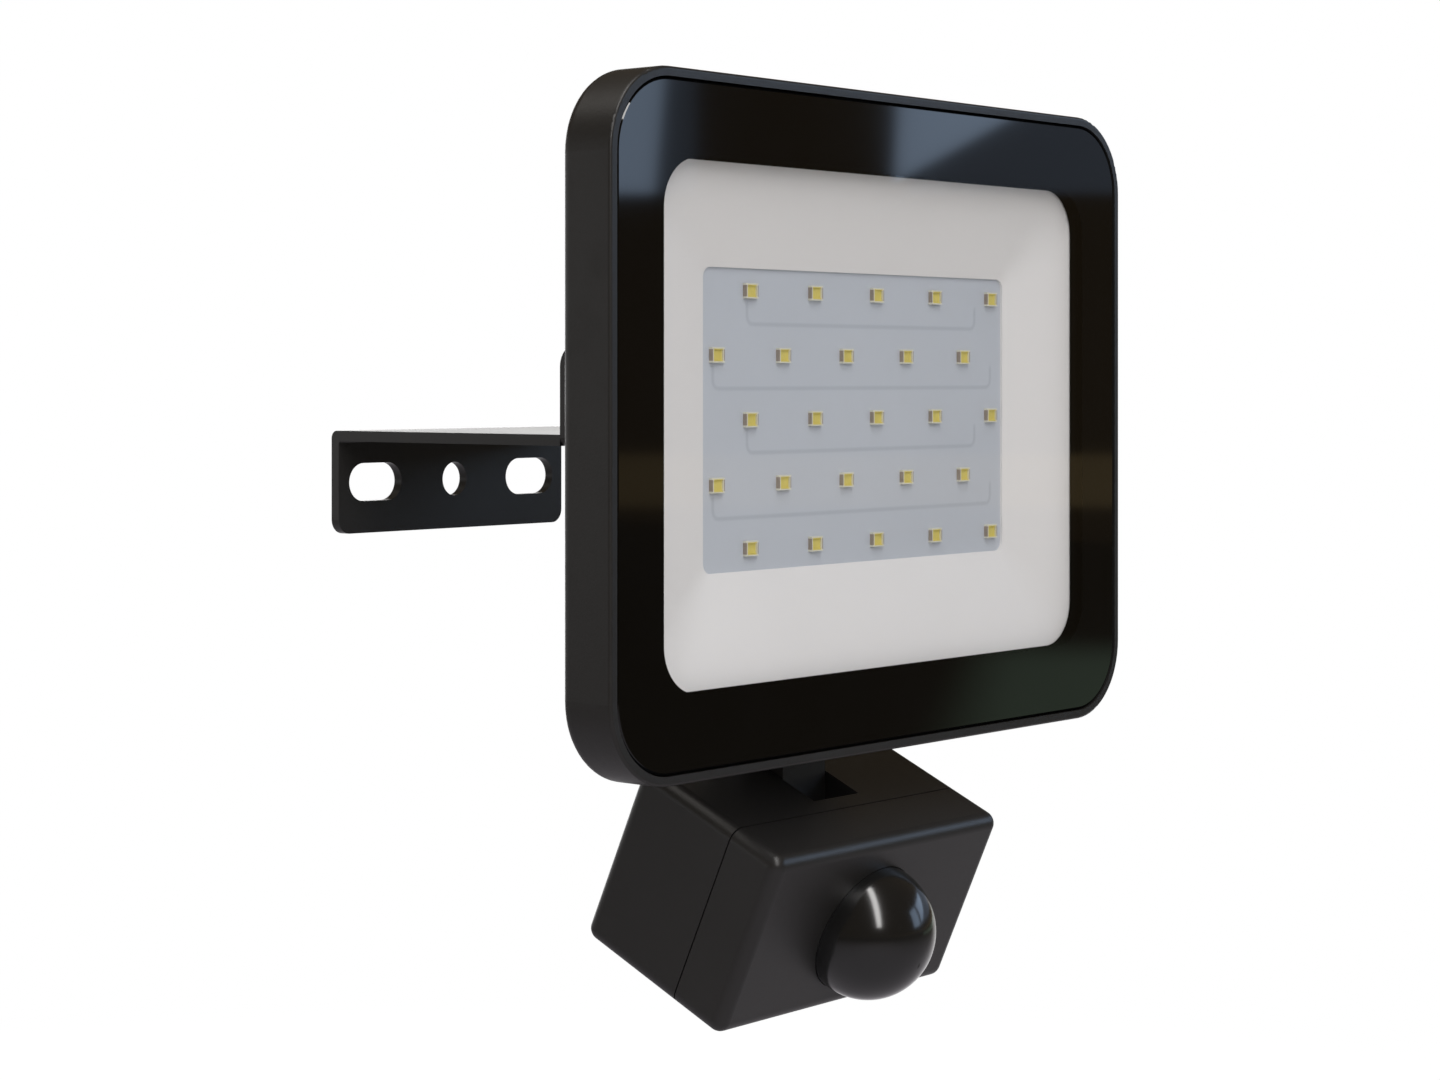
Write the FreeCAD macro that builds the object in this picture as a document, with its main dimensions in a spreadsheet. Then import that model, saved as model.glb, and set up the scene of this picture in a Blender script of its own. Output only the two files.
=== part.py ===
import FreeCAD, Part
import math
import os

import Sketcher
from FreeCAD import Placement, Rotation, Vector

# Motion sensor floodlight on a bent wall bracket, in millimetres.
# The origin is the centre hole of the wall flange, on the wall. +Z is up and the lamp looks along -Y.
# The lamp's pieces are drawn in the lamp's own frame: across, up, and out through the glass,
# with the middle of the glass side at zero. The sensor head's pieces are drawn in the same way,
# with zero on its tilt axis. Each piece's Placement then sets it in the part.

DRIVING_SIZES = [
    # wall bracket
    ("bracket_width", 67.5),
    ("sheet_thickness", 2.2),
    ("bend_outer_radius", 1.6),
    ("bend_inner_radius", 0.4),
    ("fork_behind_pivot", 6.0),
    ("arm_above_holes", 10.9),
    ("flange_below_holes", 10.7),
    ("flange_corner_round", 3.0),
    ("wall_slot_length", 15.0),
    ("wall_slot_width", 8.0),
    ("wall_slot_spacing", 46.6),
    ("centre_hole_width", 7.3),
    ("ear_length", 20.0),
    ("ear_rise", 17.7),
    ("ear_corner_round", 4.5),
    ("fork_round", 2.0),
    # lamp pivot
    ("pivot_reach", 75.5),
    ("pivot_above_arm", 7.1),
    ("pivot_to_front", 45.4),
    ("pivot_above_centre", 4.4),
    ("lug_thickness", 5.0),
    ("lug_round", 6.8),
    ("lug_root_height", 28.0),
    ("bolt_width", 5.0),
    ("bolt_head_width", 9.0),
    ("bolt_head_depth", 3.5),
    ("bolt_length", 11.0),
    ("bolt_head_round", 1.2),
    ("hex_socket_width", 4.0),
    ("hex_socket_depth", 2.0),
    ("washer_width", 10.0),
    ("washer_thickness", 1.0),
    ("friction_washer_thickness", 1.8),
    ("friction_washer_width", 12.0),
    # lamp housing
    ("lamp_width", 160.0),
    ("lamp_height", 125.0),
    ("lamp_corner_round", 15.4),
    ("rim_depth", 12.0),
    ("rim_lip", 2.0),
    ("rim_back_round", 2.6),
    ("rim_front_round", 0.6),
    ("floor_depth", 9.8),
    ("back_depth", 13.0),
    ("back_inset", 6.0),
    ("cavity_wall", 5.5),
    ("fin_thickness", 2.0),
    ("fin_height", 5.0),
    ("fin_pitch", 5.8),
    ("fin_count", 5),
    ("fin_start", 47.0),
    ("fin_end_margin", 9.0),
    # driver compartment on the back of the housing
    ("box_rim_depth", 28.0),
    ("box_top", 46.0),
    ("box_bottom", 42.0),
    ("box_wall", 2.5),
    ("box_corner_round", 5.0),
    ("box_floor_depth", 13.0),
    ("post_width", 6.5),
    ("cover_pilot_depth", 8.0),
    ("cover_seal_thickness", 0.6),
    ("cover_thickness", 2.0),
    ("cover_round", 0.8),
    ("cover_screw_width", 3.0),
    ("cover_screw_head_width", 5.6),
    ("cover_screw_head_depth", 1.8),
    ("cover_screw_length", 9.0),
    ("wire_hole_width", 5.0),
    ("wire_hole_gap", 0.3),
    # front glass and what lies under it
    ("glass_recess", 0.2),
    ("glass_thickness", 3.0),
    ("glass_bevel", 0.4),
    ("glass_seal_thickness", 0.6),
    ("glass_seal_width", 3.0),
    ("reflector_gap", 0.3),
    ("reflector_outer_width", 132.0),
    ("reflector_outer_height", 94.0),
    ("reflector_outer_round", 9.0),
    ("reflector_mouth_round", 3.0),
    ("reflector_opening_width", 94.4),
    ("reflector_opening_height", 55.4),
    ("reflector_opening_round", 2.0),
    ("reflector_edge", 0.5),
    ("board_width", 112.0),
    ("board_height", 72.0),
    ("board_thickness", 1.5),
    ("board_rise", 0.7),
    ("board_screw_inset", 2.8),
    ("board_screw_width", 2.5),
    ("board_screw_head_width", 3.6),
    ("board_screw_head_depth", 1.0),
    ("board_screw_length", 3.4),
    ("pad_thickness", 0.4),
    ("pad_inset", 6.5),
    ("reflector_wall", 1.2),
    ("chip_width", 3.5),
    ("chip_height", 2.8),
    ("chip_thickness", 0.8),
    ("chip_dish", 0.3),
    ("chip_frame", 0.45),
    ("chip_pitch", 19.2),
    ("chip_row_pitch", 11.8),
    ("chip_columns", 5),
    ("chip_right_rows", 3),
    ("chip_left_rows", 2),
    # driver board and its parts
    ("driver_board_width", 36.0),
    ("driver_board_height", 66.0),
    ("driver_board_thickness", 1.6),
    ("driver_board_stand", 3.2),
    ("stand_width", 5.0),
    ("stand_inset", 3.2),
    ("capacitor_width", 8.0),
    ("capacitor_length", 9.0),
    ("capacitor_pitch", 9.4),
    ("capacitor_across", 11.0),
    ("capacitor_up", 12.0),
    ("can_groove_start", 1.08),
    ("can_groove_middle", 1.53),
    ("can_groove_end", 1.98),
    ("can_top_bevel", 0.36),
    ("transformer_size", 13.0),
    ("transformer_depth", 7.5),
    ("transformer_across", 8.0),
    ("transformer_up", 18.0),
    ("transformer_height", 10.4),
    ("transformer_foot_depth", 1.125),
    ("transformer_coil_width", 9.1),
    ("transformer_coil_depth", 6.375),
    ("transformer_core_height", 4.55),
    ("driver_chip_length", 5.0),
    ("driver_chip_width", 3.75),
    ("driver_chip_depth", 1.6),
    ("driver_chip_up", 2.0),
    ("driver_chip_leg", 0.5),
    ("driver_chip_leg_pitch", 1.27),
    ("driver_chip_leg_span", 6.0),
    ("driver_chip_legs", 4),
    ("terminal_length", 20.0),
    ("terminal_depth", 7.5),
    ("terminal_height", 9.0),
    ("terminal_drop", 23.0),
    ("terminal_pitch", 6.4),
    ("terminal_ways", 3),
    ("terminal_wire_hole", 3.4),
    ("terminal_wire_hole_rise", 3.0),
    ("terminal_wire_hole_depth", 7.2),
    ("terminal_well_depth", 5.25),
    ("terminal_screw_width", 3.6),
    ("terminal_screw_sink", 1.0),
    ("earth_screw_width", 4.0),
    ("earth_screw_head_width", 7.0),
    ("earth_screw_head_depth", 2.4),
    ("earth_screw_length", 5.0),
    ("earth_boss_width", 8.0),
    ("earth_boss_height", 3.0),
    ("earth_across", 8.0),
    ("earth_drop", 35.2),
    # cable gland
    ("gland_drop", 24.0),
    ("gland_depth", 21.5),
    ("gland_thread_width", 10.5),
    ("gland_across_flats", 13.6),
    ("gland_flange_length", 4.0),
    ("gland_nut_length", 9.0),
    ("gland_collar_length", 6.0),
    ("gland_locknut_length", 3.0),
    ("gland_locknut_across_flats", 12.0),
    ("gland_sleeve_wall", 0.9),
    ("gland_dome_round", 2.0),
    ("cable_width", 6.8),
    # neck between lamp and sensor head
    ("neck_depth", 25.2),
    ("neck_boss_round", 12.5),
    ("neck_disc_width", 18.0),
    ("neck_disc_thickness", 3.5),
    ("neck_web", 3.0),
    ("neck_stem_width", 11.0),
    ("neck_stem_wall", 1.8),
    ("neck_barb", 0.7),
    ("neck_barb_length", 3.5),
    ("neck_split_width", 2.4),
    ("neck_boss_rise", 16.0),
    ("neck_seal_width", 1.4),
    ("neck_seal_height", 1.0),
    ("neck_seal_inner_width", 13.2),
    ("neck_wire_width", 3.4),
    ("neck_wire_exit_rise", 8.0),
    ("tab_width", 13.2),
    ("tab_thickness", 7.0),
    ("tab_end_round", 5.2),
    ("tilt_drop", 17.5),
    # sensor head
    ("sensor_pitch", 24.0),
    ("sensor_width", 70.4),
    ("sensor_front_reach", 23.5),
    ("sensor_back_reach", 13.4),
    ("sensor_above_axis", 11.2),
    ("sensor_below_axis", 26.2),
    ("sensor_round", 2.6),
    ("sensor_wall", 2.0),
    ("front_shell_depth", 12.0),
    ("shell_seam", 0.3),
    ("slot_start", 15.9),
    ("slot_wall", 2.2),
    ("slot_gap", 0.4),
    ("slot_floor_gap", 0.8),
    ("slot_bend", 1.4),
    ("slot_back_drop", 0.2),
    ("shell_seal_inset", 0.5),
    ("shell_seal_width", 1.2),
    ("shell_post_width", 7.4),
    ("shell_post_inset", 5.6),
    ("shell_screw_width", 2.6),
    ("shell_screw_head_width", 5.0),
    ("shell_screw_head_depth", 1.8),
    ("shell_screw_sink", 14.6),
    ("shell_screw_length", 15.0),
    ("tilt_pin_width", 4.0),
    ("tilt_pin_head_width", 7.0),
    ("tilt_pin_head_depth", 2.4),
    ("lens_width", 26.4),
    ("lens_collar", 1.0),
    ("lens_wall", 1.2),
    ("lens_flange", 2.0),
    ("lens_flange_thickness", 1.2),
    ("lens_flange_round", 3.0),
    ("lens_below_middle", 0.9),
    ("sensor_board_width", 46.0),
    ("sensor_board_height", 24.0),
    ("sensor_board_thickness", 1.6),
    ("detector_width", 8.2),
    ("detector_length", 4.4),
    ("relay_width", 11.0),
    ("relay_height", 12.6),
    ("relay_depth", 9.0),
    ("relay_across", 17.4),
    ("relay_drop", 9.8),
    ("sensor_capacitor_width", 6.3),
    ("sensor_capacitor_length", 9.0),
    # setting knobs under the sensor head
    ("knob_spacing", 17.0),
    ("knob_back", 1.5),
    ("knob_width", 9.0),
    ("knob_length", 4.4),
    ("knob_shaft_width", 5.0),
    ("knob_shaft_length", 5.6),
    ("knob_grip", 0.8),
    ("knob_slot_width", 1.2),
    ("knob_slot_depth", 1.4),
    ("knob_flutes", 12),
    ("knob_flute_width", 1.2),
    ("trimmer_size", 10.0),
    ("trimmer_depth", 5.0),
    ("trimmer_board_thickness", 1.2),
    ("trimmer_board_width", 46.0),
    ("trimmer_board_height", 12.0),
    # clearances
    ("running_gap", 0.08),
    ("thread_gap", 0.05),
    ("seat_gap", 0.25),
    ("moving_gap", 0.3),
    ("face_gap", 0.1),
]

doc = FreeCAD.newDocument("floodlight")
sheet = doc.addObject("Spreadsheet::Sheet", "Sizes")
for row, (alias, number) in enumerate(DRIVING_SIZES, start=1):
    sheet.set(f"A{row}", alias)
    sheet.set(f"B{row}", str(number))
    sheet.setAlias(f"B{row}", alias)
doc.recompute()


class Size:
    """A number together with the sheet expression that it comes from."""

    def __init__(self, value, text):
        self.value = value
        self.text = text

    def __add__(self, other):
        other = as_size(other)
        return Size(self.value + other.value, f"({self.text} + {other.text})")

    def __sub__(self, other):
        other = as_size(other)
        return Size(self.value - other.value, f"({self.text} - {other.text})")

    def __mul__(self, factor):
        factor = as_size(factor)
        return Size(self.value * factor.value, f"({self.text} * {factor.text})")

    def __truediv__(self, factor):
        return Size(self.value / factor, f"({self.text} / {factor})")

    def __neg__(self):
        return Size(-self.value, f"(-1 * {self.text})")


def as_size(thing):
    """A plain number as a Size of its own."""
    return thing if isinstance(thing, Size) else Size(float(thing), str(thing))


def size(alias):
    """One driving dimension of the sheet."""
    return Size(float(sheet.get(alias)), f"Sizes.{alias}")


ZERO = as_size(0)


def bind(feature, name, length):
    """Sets a feature's length and ties it to the sheet."""
    setattr(feature, name, length.value)
    feature.setExpression(name, length.text)


# Frames of the three groups of pieces

pivot_height = size("arm_above_holes") + size("pivot_above_arm")
lamp_reach = size("pivot_reach") + size("pivot_to_front")
lamp_rise = pivot_height - size("pivot_above_centre")
neck_axis_y = size("neck_depth") - lamp_reach
tilt_axis_z = lamp_rise - size("lamp_height") / 2 - size("tilt_drop")


def set_in_place(piece, across, along, up, turn):
    """Gives a piece its Placement: a turn about X and a shift, both tied to the sheet."""
    piece.Placement = Placement(
        Vector(across.value, along.value, up.value), Rotation(Vector(1, 0, 0), turn.value)
    )
    piece.setExpression("Placement.Base.x", across.text)
    piece.setExpression("Placement.Base.y", along.text)
    piece.setExpression("Placement.Base.z", up.text)
    piece.setExpression("Placement.Rotation.Angle", turn.text)


def set_at_wall(piece):
    """The bracket's frame is the part's own frame."""
    set_in_place(piece, ZERO, ZERO, ZERO, ZERO)


def set_on_lamp(piece):
    """Middle of the lamp's front, with the outward direction along the lamp's look."""
    set_in_place(piece, ZERO, -lamp_reach, lamp_rise, as_size(90))


def set_on_pivot(piece):
    """Middle of the bracket's pivot axis, upright."""
    set_in_place(piece, ZERO, -size("pivot_reach"), pivot_height, ZERO)


def set_on_neck(piece):
    """Middle of the sensor's tilt axis, upright."""
    set_in_place(piece, ZERO, neck_axis_y, tilt_axis_z, ZERO)


def set_on_head(piece):
    """Middle of the sensor's tilt axis, with the outward direction along the sensor's look."""
    set_in_place(piece, ZERO, neck_axis_y, tilt_axis_z, size("sensor_pitch") + 90)


# Sketches and features

def new_piece(label):
    """An empty body that becomes one piece."""
    body = doc.addObject("PartDesign::Body", label)
    body.Label = label
    return body


def sketch_on(body, role, offset=ZERO):
    """A sketch on one of the body's origin planes, moved along its normal by an offset."""
    sketch = body.newObject("Sketcher::SketchObject", "outline")
    plane = next(f for f in body.Origin.OriginFeatures if f.Role == role)
    sketch.AttachmentSupport = [(plane, "")]
    sketch.MapMode = "FlatFace"
    sketch.AttachmentOffset = Placement(Vector(0, 0, offset.value), Rotation())
    sketch.setExpression("AttachmentOffset.Base.z", offset.text)
    return sketch


def hold(sketch, geometry, point, across=None, up=None):
    """Holds a point of a sketch at one or two sizes from the sketch's origin."""
    for kind, length in (("DistanceX", across), ("DistanceY", up)):
        if length is None:
            continue
        index = sketch.addConstraint(Sketcher.Constraint(kind, -1, 1, geometry, point, length.value))
        sketch.setExpression(f"Constraints[{index}]", length.text)


def draw_polygon(sketch, corners):
    """A closed outline of straight edges through the given corners."""
    first = sketch.GeometryCount
    count = len(corners)
    points = [Vector(across.value, up.value, 0) for across, up in corners]
    for index in range(count):
        sketch.addGeometry(Part.LineSegment(points[index], points[(index + 1) % count]), False)
    for index, (across, up) in enumerate(corners):
        following = first + (index + 1) % count
        sketch.addConstraint(Sketcher.Constraint("Coincident", first + index, 2, following, 1))
        hold(sketch, first + index, 1, across, up)


def draw_circle(sketch, width, across=ZERO, up=ZERO):
    """A circle of a given width about a held centre."""
    centre = Vector(across.value, up.value, 0)
    index = sketch.addGeometry(Part.Circle(centre, Vector(0, 0, 1), width.value / 2), False)
    hold(sketch, index, 3, across, up)
    constraint = sketch.addConstraint(Sketcher.Constraint("Diameter", index, width.value))
    sketch.setExpression(f"Constraints[{constraint}]", width.text)


def draw_rounded(sketch, width, height, corner, across=ZERO, up=ZERO):
    """A rectangle with four equal round corners about a held middle."""
    side = width / 2 - corner
    rise = height / 2 - corner
    middles = [(across + side, up + rise), (across - side, up + rise),
               (across - side, up - rise), (across + side, up - rise)]
    arcs = []
    for quarter, (x, y) in enumerate(middles):
        circle = Part.Circle(Vector(x.value, y.value, 0), Vector(0, 0, 1), corner.value)
        start = quarter * math.pi / 2
        arcs.append(sketch.addGeometry(Part.ArcOfCircle(circle, start, start + math.pi / 2), False))
        hold(sketch, arcs[-1], 3, x, y)
        index = sketch.addConstraint(Sketcher.Constraint("Radius", arcs[-1], corner.value))
        sketch.setExpression(f"Constraints[{index}]", corner.text)
    for quarter, arc in enumerate(arcs):
        following = arcs[(quarter + 1) % 4]
        start = sketch.getPoint(arc, 2)
        end = sketch.getPoint(following, 1)
        line = sketch.addGeometry(Part.LineSegment(start, end), False)
        sketch.addConstraint(Sketcher.Constraint("Tangent", arc, 2, line, 1))
        sketch.addConstraint(Sketcher.Constraint("Tangent", line, 2, following, 1))


def draw_slot(sketch, length, width, across):
    """A slot with round ends about a held middle, its long side across."""
    arcs = []
    for side in (1, -1):
        middle = across + (length - width) / 2 * side
        circle = Part.Circle(Vector(middle.value, 0, 0), Vector(0, 0, 1), width.value / 2)
        start = -side * math.pi / 2
        arcs.append(sketch.addGeometry(Part.ArcOfCircle(circle, start, start + math.pi), False))
        hold(sketch, arcs[-1], 3, middle, ZERO)
        index = sketch.addConstraint(Sketcher.Constraint("Radius", arcs[-1], width.value / 2))
        sketch.setExpression(f"Constraints[{index}]", (width / 2).text)
    for arc, following in (arcs, arcs[::-1]):
        start = sketch.getPoint(arc, 2)
        end = sketch.getPoint(following, 1)
        line = sketch.addGeometry(Part.LineSegment(start, end), False)
        sketch.addConstraint(Sketcher.Constraint("Tangent", arc, 2, line, 1))
        sketch.addConstraint(Sketcher.Constraint("Tangent", line, 2, following, 1))


def draw_hexagon(sketch, across_flats, corner_up, across=ZERO, up=ZERO):
    """A regular hexagon about a held middle, held by the width across its flats."""
    radius = across_flats / 2 * (2 / math.sqrt(3))
    start = math.pi / 6 if corner_up else 0.0
    corners = []
    for index in range(6):
        angle = start + index * math.pi / 3
        corners.append((across + radius * round(math.cos(angle), 9), up + radius * round(math.sin(angle), 9)))
    draw_polygon(sketch, corners)


def pad(body, sketch, length, towards_back=False, both_sides=False):
    """Raises a sketch along its normal, against it, or both ways."""
    feature = body.newObject("PartDesign::Pad", "pad")
    feature.Profile = sketch
    bind(feature, "Length", length)
    feature.Reversed = towards_back
    feature.SideType = "Symmetric" if both_sides else "One side"
    doc.recompute()
    return feature


def pocket(body, sketch, length, along_normal=False, both_sides=False):
    """Sinks a sketch against its normal, along it, or both ways, and checks that it cut."""
    before = body.Shape.Volume
    feature = body.newObject("PartDesign::Pocket", "pocket")
    feature.Profile = sketch
    bind(feature, "Length", length)
    feature.Reversed = along_normal
    feature.SideType = "Symmetric" if both_sides else "One side"
    doc.recompute()
    if feature.Shape.Volume >= before:
        raise RuntimeError(f"a pocket of {body.Label} cut nothing")
    return feature


def revolve(body, sketch, axis="V_Axis"):
    """Turns a sketch once round one of its own axes."""
    feature = body.newObject("PartDesign::Revolution", "turn")
    feature.Profile = sketch
    feature.ReferenceAxis = (sketch, [axis])
    feature.Angle = 360
    doc.recompute()
    return feature


def mirror(body, originals, role):
    """Repeats features on the other side of one of the body's origin planes."""
    feature = body.newObject("PartDesign::Mirrored", "mirror")
    feature.Originals = originals
    feature.MirrorPlane = (next(f for f in body.Origin.OriginFeatures if f.Role == role), [""])
    body.Tip = feature
    doc.recompute()
    return feature


def repeat(body, originals, role, count, pitch, backwards=False):
    """Repeats features along one of the body's origin axes at a pitch."""
    feature = body.newObject("PartDesign::LinearPattern", "row")
    feature.Originals = originals
    feature.Direction = (next(f for f in body.Origin.OriginFeatures if f.Role == role), [""])
    feature.Mode = "Spacing"
    feature.Occurrences = int(count.value)
    feature.setExpression("Occurrences", count.text)
    bind(feature, "Offset", pitch)
    feature.Reversed = backwards
    body.Tip = feature
    doc.recompute()
    return feature


def edges_of(shape, wanted):
    """Names of the edges that a test accepts."""
    return [f"Edge{index}" for index, edge in enumerate(shape.Edges, start=1) if wanted(edge)]


def fillet(body, wanted, radius):
    """Rounds the edges of the body's present form that a test accepts."""
    base = body.Tip
    names = edges_of(base.Shape, wanted)
    if not names:
        raise RuntimeError(f"no edge of {body.Label} to round")
    feature = body.newObject("PartDesign::Fillet", "round")
    feature.Base = (base, names)
    bind(feature, "Radius", radius)
    doc.recompute()
    return feature


def chamfer(body, wanted, length):
    """Bevels the edges of the body's present form that a test accepts."""
    base = body.Tip
    names = edges_of(base.Shape, wanted)
    if not names:
        raise RuntimeError(f"no edge of {body.Label} to bevel")
    feature = body.newObject("PartDesign::Chamfer", "bevel")
    feature.Base = (base, names)
    bind(feature, "Size", length)
    doc.recompute()
    return feature


def lies_at(edge, axis, value, near=0.01):
    """Whether a whole edge lies in the plane where one coordinate has a value."""
    box = edge.BoundBox
    low = getattr(box, f"{axis}Min")
    high = getattr(box, f"{axis}Max")
    return abs(low - value) < near and abs(high - value) < near


def runs_along(edge, axis, near=0.01):
    """Whether an edge is straight and parallel to one axis."""
    box = edge.BoundBox
    others = [name for name in "XYZ" if name != axis]
    return getattr(box, f"{axis}Length") > near and all(getattr(box, f"{o}Length") < near for o in others)


def grid(body, originals, across_count, across_pitch, up_count, up_pitch):
    """Repeats features on a grid, across and up."""
    roles = {f.Role: f for f in body.Origin.OriginFeatures}
    feature = body.newObject("PartDesign::LinearPattern", "grid")
    feature.Originals = originals
    feature.Direction = (roles["X_Axis"], [""])
    feature.Mode = "Spacing"
    feature.Occurrences = int(across_count.value)
    feature.setExpression("Occurrences", across_count.text)
    bind(feature, "Offset", across_pitch)
    feature.Direction2 = (roles["Y_Axis"], [""])
    feature.Mode2 = "Extent"
    feature.Occurrences2 = int(up_count.value)
    feature.setExpression("Occurrences2", up_count.text)
    bind(feature, "Length2", up_pitch * (up_count - 1))
    body.Tip = feature
    doc.recompute()
    return feature


TWO = as_size(2)

half_bracket = size("bracket_width") / 2
ear_front = size("pivot_reach") + size("ear_length") / 2
ear_rear = size("pivot_reach") - size("ear_length") / 2
ear_inside = half_bracket - size("sheet_thickness")
fork_half_width = ear_inside - size("bend_inner_radius")
lug_outside = ear_inside - size("friction_washer_thickness") - size("face_gap")
lug_inside = lug_outside - size("lug_thickness")


def make_wall_bracket():
    """Steel sheet bent down into the wall flange and bent up into two ears."""
    body = new_piece("wall_bracket")
    width = size("bracket_width")
    sheet_depth = size("sheet_thickness")
    top = size("arm_above_holes")
    bottom = -size("flange_below_holes")
    ear_top = top + size("ear_rise")

    fork = sketch_on(body, "XZ_Plane", ear_rear)
    draw_polygon(fork, [
        (-half_bracket, ear_top), (-half_bracket, top - sheet_depth),
        (half_bracket, top - sheet_depth), (half_bracket, ear_top),
        (ear_inside, ear_top), (ear_inside, top), (-ear_inside, top), (-ear_inside, ear_top)])
    pad(body, fork, size("ear_length"))
    underside = (top - sheet_depth).value
    fillet(body, lambda e: runs_along(e, "Y") and lies_at(e, "Z", underside), size("bend_outer_radius"))
    inside = ear_inside.value
    fillet(body, lambda e: runs_along(e, "Y") and lies_at(e, "Z", top.value)
           and abs(abs(e.CenterOfMass.x) - inside) < 0.01, size("bend_inner_radius"))

    bent_arm = sketch_on(body, "YZ_Plane")
    draw_polygon(bent_arm, [
        (ZERO, bottom), (ZERO, top), (-ear_rear, top), (-ear_rear, top - sheet_depth),
        (-sheet_depth, top - sheet_depth), (-sheet_depth, bottom)])
    pad(body, bent_arm, width, both_sides=True)
    fillet(body, lambda e: runs_along(e, "X") and lies_at(e, "Y", 0) and lies_at(e, "Z", top.value),
           size("bend_outer_radius"))
    fillet(body, lambda e: runs_along(e, "X") and lies_at(e, "Y", -sheet_depth.value)
           and lies_at(e, "Z", underside), size("bend_inner_radius"))
    fillet(body, lambda e: runs_along(e, "Y") and lies_at(e, "Z", bottom.value)
           and e.BoundBox.YLength < 2 * sheet_depth.value, size("flange_corner_round"))
    fillet(body, lambda e: runs_along(e, "X") and lies_at(e, "Z", ear_top.value), size("ear_corner_round"))

    gap = sketch_on(body, "XY_Plane", top)
    gap_back = -(size("pivot_reach") - size("fork_behind_pivot"))
    gap_front = -(ear_front + sheet_depth)
    draw_rounded(gap, fork_half_width * 2, gap_back - gap_front, size("fork_round"), ZERO,
                 (gap_back + gap_front) / 2)
    pocket(body, gap, sheet_depth * 2, both_sides=True)

    pivot_hole = sketch_on(body, "YZ_Plane")
    draw_circle(pivot_hole, size("bolt_width") + size("running_gap") * 2, -size("pivot_reach"), pivot_height)
    pocket(body, pivot_hole, width, both_sides=True)

    wall_holes = sketch_on(body, "XZ_Plane")
    for side in (-1, 1):
        draw_slot(wall_holes, size("wall_slot_length"), size("wall_slot_width"),
                  size("wall_slot_spacing") / 2 * side)
    draw_circle(wall_holes, size("centre_hole_width"))
    pocket(body, wall_holes, sheet_depth * 3, both_sides=True)
    set_at_wall(body)
    return body


# Lamp housing

rim_half_height = size("lamp_height") / 2
glass_inset = size("rim_lip")
glass_width = size("lamp_width") - glass_inset * 2
glass_height = size("lamp_height") - glass_inset * 2
glass_round = size("lamp_corner_round") - glass_inset
glass_back = size("glass_recess") + size("glass_thickness")
shelf_depth = glass_back + size("glass_seal_thickness")
cavity_width = size("lamp_width") - size("cavity_wall") * 2
cavity_height = size("lamp_height") - size("cavity_wall") * 2
cavity_round = size("lamp_corner_round") - size("cavity_wall")
box_half_width = lug_inside - size("moving_gap")
box_height = size("box_top") + size("box_bottom")
box_middle = (size("box_top") - size("box_bottom")) / 2
box_inner_width = box_half_width * 2 - size("box_wall") * 2
box_inner_height = box_height - size("box_wall") * 2
box_inner_round = size("box_corner_round") - size("box_wall")
post_across = box_half_width - size("box_wall") - size("post_width") / 2
post_up = box_height / 2 - size("box_wall") - size("post_width") / 2
cover_back = size("box_rim_depth") + size("cover_seal_thickness") + size("cover_thickness")
board_front = size("floor_depth") - size("pad_thickness") - size("board_thickness")
board_screw_across = size("board_width") / 2 - size("board_screw_inset")
board_screw_up = size("board_height") / 2 - size("board_screw_inset")
stand_across = size("driver_board_width") / 2 - size("stand_inset")
stand_up = size("driver_board_height") / 2 - size("stand_inset")
driver_board_front = size("box_floor_depth") + size("driver_board_stand")
driver_board_back = driver_board_front + size("driver_board_thickness")
earth_seat = size("box_floor_depth") + size("earth_boss_height")
wire_hole_up = size("board_rise") + size("board_height") / 2 + size("wire_hole_width") / 2
wire_hole_up = wire_hole_up + size("wire_hole_gap")


def add_rim(body):
    """The frame round the glass, with its rounded back edge."""
    outline = sketch_on(body, "XY_Plane")
    draw_rounded(outline, size("lamp_width"), size("lamp_height"), size("lamp_corner_round"))
    pad(body, outline, size("rim_depth"), towards_back=True)
    back = -size("rim_depth").value
    fillet(body, lambda e: lies_at(e, "Z", back), size("rim_back_round"))
    fillet(body, lambda e: lies_at(e, "Z", 0), size("rim_front_round"))


def add_back_plate(body):
    """The thick back of the tray, set in from the rim, and the driver compartment's walls."""
    inset = size("back_inset")
    outline = sketch_on(body, "XY_Plane", -size("floor_depth"))
    draw_rounded(outline, size("lamp_width") - inset * 2, size("lamp_height") - inset * 2,
                 size("lamp_corner_round") - inset)
    pad(body, outline, size("back_depth") - size("floor_depth"), towards_back=True)
    walls = sketch_on(body, "XY_Plane", -size("floor_depth"))
    draw_rounded(walls, box_half_width * 2, box_height, size("box_corner_round"), ZERO, box_middle)
    pad(body, walls, size("box_rim_depth") - size("floor_depth"), towards_back=True)


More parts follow.
